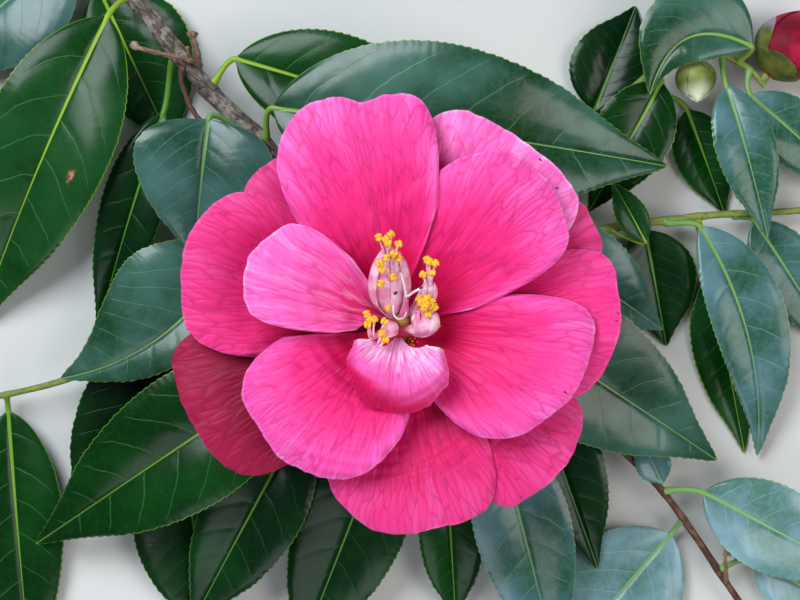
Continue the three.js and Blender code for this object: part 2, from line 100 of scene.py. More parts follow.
def addSky():
    world = bpy.data.worlds.new("softSky")
    world.use_nodes = True
    for socket, value in skySettings.items():
        world.node_tree.nodes["Background"].inputs[socket].default_value = value
    bpy.context.scene.world = world


def addLight(name, setting):
    data = bpy.data.lights.new(name, "AREA")
    data.size = setting["size"] * mm
    data.energy = setting["power"]
    data.color = setting["color"]
    light = addObject(name, data, place(setting["at"]))
    light.rotation_euler = (place(lightAim) - place(setting["at"])).to_track_quat("-Z", "Y").to_euler()


bpy.context.scene.view_settings.view_transform = "Standard"
addCamera()
addSky()
for lightName, lightSetting in lightSettings.items():
    addLight(lightName, lightSetting)
print("camera and light ready")


# Shader helpers, from single nodes to whole groups and materials

def feed(tree, socket, value):
    if isinstance(value, bpy.types.NodeSocket):
        tree.links.new(value, socket)
    elif isinstance(value, tuple) and socket.type == "RGBA":
        socket.default_value = (*value, 1)
    else:
        socket.default_value = value


def newNode(tree, kind, inputs=None, **settings):
    node = tree.nodes.new("ShaderNode" + kind)
    for name, value in settings.items():
        setattr(node, name, value)
    for socket, value in (inputs or {}).items():
        feed(tree, node.inputs[socket], value)
    return node


def calc(tree, operation, *values):
    return newNode(tree, "Math", dict(enumerate(values)), operation=operation).outputs[0]


def times(tree, value, *others):
    for other in others:
        value = calc(tree, "MULTIPLY", value, other)
    return value


def addUp(tree, total, *parts):
    for value, weight in parts:
        total = calc(tree, "MULTIPLY_ADD", value, weight, total)
    return total


def fade(tree, value, start, end, low=0.0, high=1.0):
    inputs = {"Value": value, "From Min": start, "From Max": end, "To Min": low, "To Max": high}
    return newNode(tree, "MapRange", inputs, interpolation_type="SMOOTHSTEP").outputs[0]


def coated(tree, color, *coats):
    # lays each coat over the color by its amount, mixed unless it says otherwise
    for amount, over, *how in coats:
        color = newNode(tree, "Mix", {0: amount, 6: color, 7: over}, data_type="RGBA",
                        blend_type=how[0] if how else "MIX").outputs[2]
    return color


def noiseOf(tree, vector, scale, detail=3.0, roughness=0.55):
    inputs = {"Vector": vector, "Scale": scale, "Detail": detail, "Roughness": roughness}
    return newNode(tree, "TexNoise", inputs).outputs["Fac"]


def edgesOf(tree, vector, scale):
    inputs = {"Vector": vector, "Scale": scale}
    return newNode(tree, "TexVoronoi", inputs, feature="DISTANCE_TO_EDGE").outputs["Distance"]


def objectPlace(tree):
    return newNode(tree, "TexCoord").outputs["Object"]


def attribute(tree, name):
    return newNode(tree, "Attribute", attribute_name=name).outputs["Fac"]


def newGroup(name, values, colors):
    tree = bpy.data.node_groups.new(name, "ShaderNodeTree")
    sides = (("INPUT", values, "Float"), ("INPUT", colors, "Color"),
             ("OUTPUT", ["color"], "Color"), ("OUTPUT", ["roughness", "height"], "Float"))
    for side, names, kind in sides:
        for socket in names:
            tree.interface.new_socket(socket, in_out=side, socket_type="NodeSocket" + kind)
    return tree, tree.nodes.new("NodeGroupInput").outputs


def finishGroup(tree, color, roughness, height):
    result = tree.nodes.new("NodeGroupOutput").inputs
    for socket, value in zip(result, (color, roughness, height)):
        feed(tree, socket, value)
    return tree


def newMaterial(name, **constants):
    material = bpy.data.materials.new(name)
    material.use_nodes = True
    tree = material.node_tree
    shader = tree.nodes["Principled BSDF"]
    for socket, value in constants.items():
        feed(tree, shader.inputs[socket.replace("_", " ")], value)
    return material, tree, shader.inputs


def dress(tree, sockets, color, roughness, height, strength, depth):
    # depth is the relief's height in millimetres
    feed(tree, sockets["Base Color"], color)
    feed(tree, sockets["Roughness"], roughness)
    inputs = {"Height": height, "Strength": strength, "Distance": depth * mm}
    feed(tree, sockets["Normal"], newNode(tree, "Bump", inputs).outputs[0])


def patternMaterial(name, pattern, attributes, tint, look, **constants):
    # a group's socket takes the mesh attribute or the tint's value of the same name
    material, tree, sockets = newMaterial(name, **constants)
    sources = {key: attribute(tree, key) for key in attributes}
    node = newNode(tree, "Group", sources, node_tree=pattern)
    for key, value in tint.items():
        if key in node.inputs:
            feed(tree, node.inputs[key], value)
    dress(tree, sockets, *node.outputs, look["reliefStrength"], tint.get("relief") or look["reliefDepth"])
    return material


# The pattern of a leaf blade: a pale midrib, side veins that bend forward, a fine net and a pale rim

leafAttributes = ("ribDistance", "rimDistance", "veinTurn", "bladeAlong", "scarDistance")
leafTints = {
    "deep": {"deep": (0.0010, 0.024, 0.0025), "freshAndSheen": (0.0038, 0.052, 0.0060), "vein": (0.035, 0.14, 0.03),
             "rib": (0.16, 0.32, 0.03), "coat": 0.03, "gloss": 0.22},
    "moss": {"deep": (0.0020, 0.034, 0.0030), "freshAndSheen": (0.0090, 0.068, 0.0150), "vein": (0.040, 0.15, 0.035),
             "rib": (0.26, 0.42, 0.03), "coat": 0.03, "gloss": 0.2},
    # satin: glossy green whose bluish second colour is a painted sheen, patches of reflected sky over the
    # green
    "satinAndPaintedSheen": {"deep": (0.0040, 0.041, 0.008), "freshAndSheen": (0.052, 0.145, 0.110), "vein": (0.08, 0.20, 0.09),
              "rib": (0.20, 0.36, 0.05), "coat": 0.1, "gloss": 0.33},
    # teal: its blue-grey second colour is a painted sheen, patches of reflected sky over the green
    "teal": {"deep": (0.009, 0.057, 0.028), "freshAndSheen": (0.060, 0.150, 0.135), "vein": (0.10, 0.21, 0.14),
             "rib": (0.15, 0.30, 0.08), "coat": 0.12, "gloss": 0.34},
    # this tint's pale blue second colour is a painted sheen, patches of reflected sky over the green
    "paintedBlueSheen": {"deep": (0.018, 0.085, 0.045), "freshAndSheen": (0.105, 0.225, 0.260), "vein": (0.14, 0.27, 0.20),
              "rib": (0.17, 0.33, 0.09), "coat": 0.12, "gloss": 0.34},
    # this tint is pale throughout: a painted sheen of reflected sky, blue-grey patches over a greyed green
    "paintedPaleSheen": {"deep": (0.070, 0.190, 0.145), "freshAndSheen": (0.245, 0.410, 0.500), "vein": (0.26, 0.42, 0.38),
             "rib": (0.22, 0.42, 0.12), "coat": 0.15, "gloss": 0.36},
    # shade: a darker copy of the leaf colour, painted shade for leaves that lie in shadow
    "shade": {"deep": (0.0010, 0.015, 0.0030), "freshAndSheen": (0.0030, 0.036, 0.0060), "vein": (0.02, 0.08, 0.02),
              "rib": (0.10, 0.24, 0.03), "coat": 0.03, "gloss": 0.22},
    "under": {"deep": (0.05, 0.13, 0.035), "freshAndSheen": (0.08, 0.18, 0.05), "vein": (0.14, 0.26, 0.08),
              "rib": (0.28, 0.38, 0.09), "coat": 0.0, "gloss": 0.25},
}
leafLook = {
    "wobbleScale": 110, "wobble": 0.30, "veinWidth": (0.008, 0.026), "veinShow": 0.55,
    "ribWidth": (0.42, 0.04), "netScale": 330, "netShow": 0.07, "fineNetScale": 800,
    "mottleAndSheenScale": 42, "mottleAndSheenSpan": (0.36, 0.66), "speckleScale": 900, "speckleShow": 0.25,
    "rimWidth": (0.08, 0.34), "rimShow": 0.6, "scarWander": 3.6, "scarEdge": (2.85, 3.05),
    "scarColor": (0.42, 0.21, 0.11), "scarRim": (0.09, 0.045, 0.018),
    "roughness": 0.15, "reliefStrength": 0.4, "reliefDepth": 0.14,
}


def leafPatternGroup():
    look = leafLook
    tree, given = newGroup("leafPattern", leafAttributes, ("deep", "freshAndSheen", "vein", "rib"))
    where = objectPlace(tree)
    rimDistance = given["rimDistance"]
    wobble = addUp(tree, -look["wobble"] / 2, (noiseOf(tree, where, look["wobbleScale"]), look["wobble"]))
    turn = calc(tree, "PINGPONG", calc(tree, "ADD", given["veinTurn"], wobble), 0.5)
    sideVein = times(tree, fade(tree, turn, *look["veinWidth"], 1, 0), fade(tree, rimDistance, 0.8, 4.0))
    net = fade(tree, edgesOf(tree, where, look["netScale"]), 0.0, 0.07, 1, 0)
    fineNet = fade(tree, edgesOf(tree, where, look["fineNetScale"]), 0.0, 0.12, 1, 0)
    ribEdge = fade(tree, given["bladeAlong"], 0.0, 0.7, *look["ribWidth"])
    fromRib = calc(tree, "SUBTRACT", calc(tree, "ABSOLUTE", given["ribDistance"]), ribEdge)
    rib = fade(tree, fromRib, -0.08, 0.2, 1, 0)
    scarPlace = addUp(tree, given["scarDistance"], (noiseOf(tree, where, 420), look["scarWander"]))
    scar = fade(tree, scarPlace, *look["scarEdge"], 1, 0)
    scarColor = coated(tree, look["scarColor"], (fade(tree, scarPlace, 2.2, 2.8), look["scarRim"]))
    # cloudy patches and specks toward the second colour: a lighter green mottle, and on the sheen tints a
    # painted sheen of reflected sky
    cloud = noiseOf(tree, where, look["mottleAndSheenScale"], 5)
    speckle = noiseOf(tree, where, look["speckleScale"], 2)
    color = coated(
        tree, given["deep"],
        (fade(tree, cloud, *look["mottleAndSheenSpan"]), given["freshAndSheen"]),
        (fade(tree, speckle, 0.4, 0.75, 0, look["speckleShow"]), given["freshAndSheen"]),
        (addUp(tree, 0.0, (sideVein, look["veinShow"]), (net, look["netShow"])), given["vein"]),
        (fade(tree, rimDistance, *look["rimWidth"], look["rimShow"], 0), given["rib"]),
        (rib, given["rib"]),
        (scar, scarColor))
    roughness = addUp(tree, look["roughness"], (noiseOf(tree, where, 200, 3), 0.16), (sideVein, 0.12),
                      (rib, 0.12), (scar, 0.4))
    height = addUp(tree, 0.0, (net, -0.05), (sideVein, -0.4), (fineNet, -0.05),
                   (noiseOf(tree, where, 160, 2), 0.35))
    return finishGroup(tree, color, roughness, height)


leafPattern = leafPatternGroup()
leafMaterials = {
    name: patternMaterial(name + "Leaf", leafPattern, leafAttributes, tint, leafLook, Coat_Roughness=0.2,
                          Coat_Weight=tint["coat"], Specular_IOR_Level=tint["gloss"])
    for name, tint in leafTints.items()}


# The pattern of a petal: a net of long veins that fans out from its foot

petalAttributes = ("fanAngle", "fromAxis", "outShare", "rimDistance")
petalTints = {
    "front": {"throat": (0.62, 0.001, 0.065), "middle": (0.82, 0.018, 0.195), "margin": (0.89, 0.080, 0.41),
              "vein": (0.50, 0.003, 0.095), "streaks": 0.0},
    # outer: a darker copy of the front colours, painted shade for the outer petals
    "outer": {"throat": (0.48, 0.001, 0.045), "middle": (0.66, 0.007, 0.120), "margin": (0.78, 0.034, 0.23),
              "vein": (0.38, 0.002, 0.065), "streaks": 0.0},
    "lilac": {"throat": (0.58, 0.001, 0.065), "middle": (0.76, 0.010, 0.150), "margin": (0.84, 0.036, 0.25),
              "vein": (0.50, 0.004, 0.10), "streaks": 0.0},
    # deep: a much darker copy of the petal colours, painted shade for the outer petal that lies in shadow
    "deep": {"throat": (0.19, 0.001, 0.016), "middle": (0.25, 0.001, 0.027), "margin": (0.34, 0.004, 0.050),
             "vein": (0.14, 0.001, 0.018), "streaks": 0.0},
    "pale": {"throat": (0.78, 0.010, 0.16), "middle": (0.91, 0.090, 0.40), "margin": (0.93, 0.150, 0.53),
             "vein": (0.62, 0.010, 0.16), "streaks": 0.3},
    # curled: its margin colour, deep crimson where the rim curls under, is partly the petal's underside
    # colour and partly painted shade
    "curled": {"throat": (0.97, 0.46, 0.86), "middle": (0.93, 0.120, 0.48), "margin": (0.70, 0.002, 0.085),
               "vein": (0.74, 0.02, 0.25), "streaks": 1.0},
}
petalLook = {
    "wanderScale": 70, "wander": 5.0, "wideNet": (0.24, 0.080), "fineNet": (0.52, 0.125),
    "netChange": (24, 40), "veinWidth": 0.11, "veinShow": (0.85, 0.46), "bandFan": (0.20, 0.03, 3.0),
    "bandShow": 0.75, "bandColor": (1.05, 2.1, 1.4), "paleRimAndHighlight": (1.1, 2.6, 1.5),
    "streakFan": (0.15, 0.11, 7.0), "streakColor": (1.0, 0.76, 0.93), "blotchScale": 60, "blotch": 0.3,
    "middleSpan": (0.16, 0.58), "marginSpan": (0.55, 1.02), "roughness": 0.42, "reliefStrength": 0.55,
    "reliefDepth": 0.24,
}


def petalPatternGroup():
    look = petalLook
    values, colors = petalAttributes + ("streaks",), ("throat", "middle", "margin", "vein")
    tree, given = newGroup("petalPattern", values, colors)
    radius, out = given["fromAxis"], given["outShare"]
    where = objectPlace(tree)
    wander = noiseOf(tree, where, look["wanderScale"], 2)
    angle = addUp(tree, given["fanAngle"], (wander, look["wander"]))
    angle = calc(tree, "ADD", angle, -look["wander"] / 2)

    def fan(across, along, z=0.0):
        inputs = {"X": times(tree, angle, across), "Y": times(tree, radius, along), "Z": z}
        return newNode(tree, "CombineXYZ", inputs).outputs[0]

    nets = {0: fade(tree, radius, *look["netChange"]), 2: edgesOf(tree, fan(*look["wideNet"]), 1.0),
            3: edgesOf(tree, fan(*look["fineNet"]), 1.0)}
    edge = newNode(tree, "Mix", nets).outputs[0]
    vein = times(tree, fade(tree, edge, 0.0, look["veinWidth"], 1, 0),
                 fade(tree, noiseOf(tree, where, 120, 2), 0.25, 0.6, 0.35, 1.0),
                 fade(tree, out, 0.1, 0.98, *look["veinShow"]))
    band = times(tree, fade(tree, noiseOf(tree, fan(*look["bandFan"]), 1.0, 4, 0.6), 0.47, 0.66),
                 fade(tree, out, 0.35, 0.8, 0.0, look["bandShow"]))
    streak = times(tree, fade(tree, noiseOf(tree, fan(*look["streakFan"]), 1.0, 5, 0.7), 0.46, 0.64),
                   fade(tree, out, 0.15, 0.68, 0.95, 0.0), given["streaks"])
    blotched = addUp(tree, out, (noiseOf(tree, where, look["blotchScale"], 3), look["blotch"]))
    blotched = calc(tree, "ADD", blotched, -look["blotch"] / 2)
    color = coated(
        tree, given["throat"],
        (fade(tree, blotched, *look["middleSpan"]), given["middle"]),
        (fade(tree, blotched, *look["marginSpan"]), given["margin"]),
        (vein, given["vein"]),
        (band, look["bandColor"], "MULTIPLY"),  # paler long streaks toward the rim
        # lighter near the rim: the petal's paler edge with a painted highlight along it
        (fade(tree, given["rimDistance"], 0.1, 0.9, 0.6, 0), look["paleRimAndHighlight"], "MULTIPLY"),
        (streak, look["streakColor"]))
    roughness = addUp(tree, look["roughness"], (noiseOf(tree, where, 500, 2), 0.2))
    height = addUp(tree, fade(tree, edge, 0.0, 0.35), (noiseOf(tree, where, 1500, 2), 0.12))
    return finishGroup(tree, color, roughness, height)


petalPattern = petalPatternGroup()
petalMaterials = {
    name: patternMaterial(name + "Petal", petalPattern, petalAttributes, tint, petalLook, Sheen_Weight=0.03,
                          Sheen_Roughness=0.5, Sheen_Tint=(1.0, 0.75, 0.88), Specular_IOR_Level=0.2)
    for name, tint in petalTints.items()}


# Bark follows each limb by its own map: across the map is round the limb, up the map is along it

limbTints = {
    "greyBark": {"dark": (0.036, 0.026, 0.021), "light": (0.185, 0.138, 0.112), "fleck": (0.42, 0.36, 0.32),
                 "furrow": 1.0, "relief": 0.5},
    "redBark": {"dark": (0.045, 0.014, 0.010), "light": (0.14, 0.050, 0.034), "fleck": (0.24, 0.13, 0.09),
                "furrow": 0.5, "relief": 0.25},
    "dryBark": {"dark": (0.10, 0.045, 0.025), "light": (0.34, 0.20, 0.13), "fleck": (0.46, 0.34, 0.25),
                "furrow": 0.6, "relief": 0.25},
    "greenBark": {"dark": (0.11, 0.16, 0.03), "light": (0.26, 0.34, 0.06), "fleck": (0.26, 0.17, 0.07),
                  "furrow": 0.2, "relief": 0.12},
}
limbLook = {
    "stretch": 0.34, "furrowScale": 125, "furrowSpan": (0.34, 0.66), "plateScale": 80, "crackWidth": 0.10,
    "crackShow": 0.7, "crackDepth": 0.8, "fleckScale": 260, "fleckSpan": (0.50, 0.64), "fleckShow": 0.6,
    "roughness": 0.6, "reliefStrength": 0.7,
}


def limbSkinGroup():
    look = limbLook
    tree, given = newGroup("limbSkin", ("furrow",), ("dark", "light", "fleck"))
    way = newNode(tree, "UVMap", uv_map="limbWay").outputs[0]
    along = newNode(tree, "Mapping", {"Vector": way, "Scale": (1.0, look["stretch"], 1.0)}).outputs[0]
    furrow = noiseOf(tree, along, look["furrowScale"], 5, 0.7)
    plates = edgesOf(tree, along, look["plateScale"])
    crack = times(tree, fade(tree, plates, 0.0, look["crackWidth"], 1, 0), given["furrow"])
    spots = noiseOf(tree, objectPlace(tree), look["fleckScale"], 5)
    color = coated(
        tree, given["dark"],
        (fade(tree, furrow, *look["furrowSpan"]), given["light"]),
        (times(tree, crack, look["crackShow"]), given["dark"]),
        (fade(tree, spots, *look["fleckSpan"], 0, look["fleckShow"]), given["fleck"]))
    roughness = addUp(tree, look["roughness"], (furrow, 0.25))
    return finishGroup(tree, color, roughness, addUp(tree, furrow, (crack, -look["crackDepth"])))


limbSkin = limbSkinGroup()
limbMaterials = {name: patternMaterial(name, limbSkin, (), tint, limbLook)
                 for name, tint in limbTints.items()}


# Plain living skins. Each has its low and high color, the scale of its mottling, roughness and height of
# relief, and some have a gloss, a color toward the tip and the stretch where that color comes in

skinTints = {
    "filament": ((0.80, 0.27, 0.44), (0.95, 0.68, 0.80), 300, 0.35, 0.08),
    "inner": ((0.68, 0.10, 0.26), (0.90, 0.36, 0.52), 300, 0.4, 0.1),
    # cushion: dark crimson that stands in for the shaded bases of the inner petals, painted shade
    "cushion": ((0.42, 0.010, 0.045), (0.72, 0.06, 0.15), 260, 0.45, 0.1),
    "fleck": ((0.05, 0.018, 0.010), (0.14, 0.05, 0.02), 900, 0.5, 0.1),
    "anther": ((0.80, 0.33, 0.012), (0.95, 0.60, 0.035), 1400, 0.55, 0.25),
    "style": ((0.84, 0.60, 0.74), (0.96, 0.88, 0.92), 500, 0.3, 0.05),
    "ovary": ((0.20, 0.13, 0.02), (0.48, 0.34, 0.06), 500, 0.5, 0.12),
    "scale": ((0.075, 0.10, 0.010), (0.19, 0.23, 0.035), 170, 0.35, 0.1, 0.5, (0.66, 0.70, 0.50)),
    "darkScale": ((0.045, 0.060, 0.006), (0.13, 0.145, 0.025), 200, 0.4, 0.12, 0.35, (0.31, 0.22, 0.29),
                  (0.38, 0.54)),
    "pinkBud": ((0.15, 0.001, 0.012), (0.40, 0.003, 0.042), 130, 0.5, 0.08, 0.22, (0.50, 0.05, 0.14),
                (0.75, 0.97)),
}


def skinMaterial(name, low, high, scale, rough, relief, gloss=0.5, tip=None, tipSpan=(0.6, 0.93)):
    material, tree, sockets = newMaterial(name + "Skin", Specular_IOR_Level=gloss)
    where = objectPlace(tree)
    cloud = noiseOf(tree, where, scale, 4)
    color = coated(tree, low, (fade(tree, cloud, 0.35, 0.65), high))
    if tip:
        color = coated(tree, color, (fade(tree, attribute(tree, "towardTip"), *tipSpan), tip))
    grain = noiseOf(tree, where, scale * 3, 2)
    dress(tree, sockets, color, addUp(tree, rough, (cloud, 0.2)), grain, 0.5, relief)
    return material


skins = {name: skinMaterial(name, *values) for name, values in skinTints.items()}
print("materials ready")


# Mesh helpers

def smoothLine(points):
    spots = [Vector(point) for point in points]
    last = len(spots) - 1

    def pointAt(t):
        t = limit(t)
        cell = min(int(t * last), last - 1)
        f = t * last - cell
        b, c = spots[cell], spots[cell + 1]
        a = spots[cell - 1] if cell else b * 2 - c
        d = spots[cell + 2] if cell + 2 <= last else c * 2 - b
        first, second = (c - a) / 2, (d - b) / 2
        return (b + first * f + ((c - b) * 3 - first * 2 - second) * f ** 2
                + ((b - c) * 2 + first + second) * f ** 3)
    return pointAt


def bezier(points, t):
    while len(points) > 1:
        points = [a.lerp(b, t) for a, b in zip(points, points[1:])]
    return points[0]


def heading(pointAt, t, step=0.0001):
    return (pointAt(limit(t + step)) - pointAt(limit(t - step))).normalized()


def addGrid(bm, columns, rows, material=0):
    before = len(bm.faces)
    verts = bmesh.ops.create_grid(bm, x_segments=columns, y_segments=rows, size=0.5)["verts"]
    faces = list(bm.faces)[before:]
    for face in faces:
        face.material_index = material
    return verts, faces


def rollUp(bm, pointAt, radiusAt, sides, steps, flatten=1.0, relief=None, facing=None, material=0):
    # a grid rolled into a tube that closes at both ends; facing turns its flat side outward
    rows = steps + 2
    way = bm.loops.layers.uv.get("limbWay") or bm.loops.layers.uv.new("limbWay")
    verts, faces = addGrid(bm, sides, rows, material)
    chord = pointAt(1) - pointAt(0)
    sideways = chord.cross(up).normalized()
    girth = 2 * math.pi * radiusAt(0.5)
    for face in faces:
        for loop in face.loops:
            across, along = loop.vert.co.x + 0.5, loop.vert.co.y + 0.5
            loop[way].uv = (across * girth * 0.01, along * chord.length * 0.01)
    rings = []
    for row in range(rows + 1):
        t = limit((row - 1) / steps)
        along = heading(pointAt, t, 0.002)
        first = along.cross(facing(t)) if facing else sideways - along * along.dot(sideways)
        first = first.normalized()
        radius = 0.0 if row in (0, rows) else radiusAt(t)
        rings.append((t, pointAt(t), first, first.cross(along), radius))
    for vert in verts:
        t, centre, first, second, radius = rings[round((vert.co.y + 0.5) * rows)]
        turn = (vert.co.x + 0.5) * 2 * math.pi
        grown = radius + (relief(t, turn) if relief and radius else 0.0)
        vert.co = centre + first * math.sin(turn) * grown + second * math.cos(turn) * grown * flatten
    bmesh.ops.remove_doubles(bm, verts=verts, dist=0.0005)


def addOval(bm, spot, axis, radii, material, segments=(10, 7), roughness=0.1):
    upright = axis.to_track_quat("Z", "Y")
    made = bmesh.ops.create_uvsphere(bm, u_segments=segments[0], v_segments=segments[1], radius=1.0)["verts"]
    for vert in made:
        shaped = Vector((vert.co.x * radii[0], vert.co.y * radii[1], vert.co.z * radii[2]))
        vert.co = spot + upright @ (shaped * (1 + roughness * noise.noise(vert.co * 3.0 + spot)))
    for face in {face for vert in made for face in vert.link_faces}:
        face.material_index = material


def meshOf(name, bm, materials):
    mesh = bpy.data.meshes.new(name)
    bm.to_mesh(mesh)
    bm.free()
    for material in materials:
        mesh.materials.append(material)
    return mesh


def finishPiece(name, bm, materials, slot, sharp=50, recalc=True, hasSolid=True):
    # from millimetres round the bloom's axis to the frame; the piece stands for the solid of its name
    if recalc:
        bmesh.ops.recalc_face_normals(bm, faces=bm.faces)
    bmesh.ops.scale(bm, vec=(mm, mm, mm), verts=bm.verts)
    bmesh.ops.translate(bm, vec=bloomAxis, verts=bm.verts)
    mesh = meshOf("fine_" + name, bm, materials)
    mesh.polygons.foreach_set("use_smooth", [True] * len(mesh.polygons))
    mesh.set_sharp_from_angle(angle=math.radians(sharp))
    piece = addObject("fine_" + name, mesh)
    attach(piece, "root")
    if hasSolid:
        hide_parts(name)


# Floor

floorHalf = 1.6


def addFloor():
    bm = bmesh.new()
    bmesh.ops.create_grid(bm, x_segments=1, y_segments=1, size=floorHalf)
    material, tree, sockets = newMaterial("paleFloor", Roughness=0.9)
    grain = noiseOf(tree, objectPlace(tree), 12, 4)
    feed(tree, sockets["Base Color"], coated(tree, (0.60, 0.60, 0.59), (grain, (0.68, 0.68, 0.67))))
    addObject("floor", meshOf("floor", bm, [material]))


addFloor()


# Limbs. A twig starts on its parent, at a share of the parent's length, and leaves it at a right angle

seat = 0.3  # clear space between a stalk and what carries it
twigStraight = 3
limbs = {}
limbDefaults = {"radii": (1.3, 0.8), "from": None, "sides": 20, "steps": 160, "skin": "greenBark",
                "slot": "young_twig"}
limbSizes = {
    "main_branch": {
        "radii": (2.6, 1.8), "sides": 40, "steps": 260, "skin": "greyBark", "slot": "bark",
        "points": [(-93, 120, 2.5), (-81, 101, 6), (-68.5, 84, 11), (-51.5, 63, 17), (-36, 47.5, 21),
                   (-19.5, 28.5, 22.5), (-5.5, 10, 23.5), (-0.5, 1, 28), (0, 0, 34)]},
    "twig_left": {
        "from": ("main_branch", 0.6),
        "points": [(-36, 20, 19), (-52, 0, 14), (-70, -8, 10.5), (-92, -16, 9), (-111, -20.5, 8)]},
    "twig_lower_left": {
        "from": ("main_branch", 0.7),
        "points": [(-18, 3.5, 20), (-26, -14.5, 17), (-41.5, -27, 12), (-54.5, -33.5, 9)]},
    "twig_bottom": {
        "from": ("main_branch", 0.8), "points": [(0.5, -7, 20), (7, -24.5, 16), (11.5, -39, 12)]},
    "twig_right": {
        "from": ("main_branch", 0.76), "skin": "redBark", "slot": "bark",
        "points": [(8, 8.5, 21), (28, -6, 17), (48.5, -24, 12), (68, -42, 9), (79, -56, 8), (93, -76.5, 5),
                   (105, -92.5, 4)]},
    "twig_upper_right": {
        "from": ("main_branch", 0.7),
        "points": [(8, 18.5, 20), (32, 20, 15), (57, 25.5, 10), (79, 28.5, 8), (91, 29.5, 7),
                   (109, 30.5, 6), (122.5, 32.5, 6)]},
    "twig_buds": {
        "from": ("main_branch", 0.62),
        "points": [(5.5, 32.5, 19), (32, 42, 13), (54, 55, 9), (72, 70.5, 8), (83, 73.5, 9), (93.5, 69.5, 9),
                   (99, 64, 9)]},
}


def outwardFrom(parent, along, target):
    tangent = heading(parent["pointAt"], along)
    outward = target - parent["pointAt"](along)
    return (outward - tangent * outward.dot(tangent)).normalized()


def rootOn(parent, along, outward, further=0.0):
    return parent["pointAt"](along) + outward * (parent["radiusAt"](along) + seat + further)


def layLimb(size):
    line = [Vector(point) for point in size["points"]]
    if size["from"]:
        parentName, along = size["from"]
        parent = limbs[parentName]
        outward = outwardFrom(parent, along, line[0])
        line = [rootOn(parent, along, outward), rootOn(parent, along, outward, twigStraight)] + line
    return {**size, "pointAt": smoothLine(line), "radiusAt": lambda t: mix(*size["radii"], t), "joints": []}


for limbName, limbSize in limbSizes.items():
    limbs[limbName] = layLimb({**limbDefaults, **limbSize})


# Leaves. Each has its limb, the share of the limb's length where it grows, the foot and tip of its blade,
# its width and its tint

leafDefaults = {"arch": 0.08, "sweep": 0, "fold": 0.1, "wave": 0.035, "shoulder": 0.8, "halves": (1, 1),
                "scar": None, "hasSolid": True}


def leafAt(limb, along, base, tip, width, tint="deep", **changes):
    return {**leafDefaults, "limb": limb, "along": along, "base": Vector(base), "tip": Vector(tip),
            "width": width, "tint": tint, **changes}


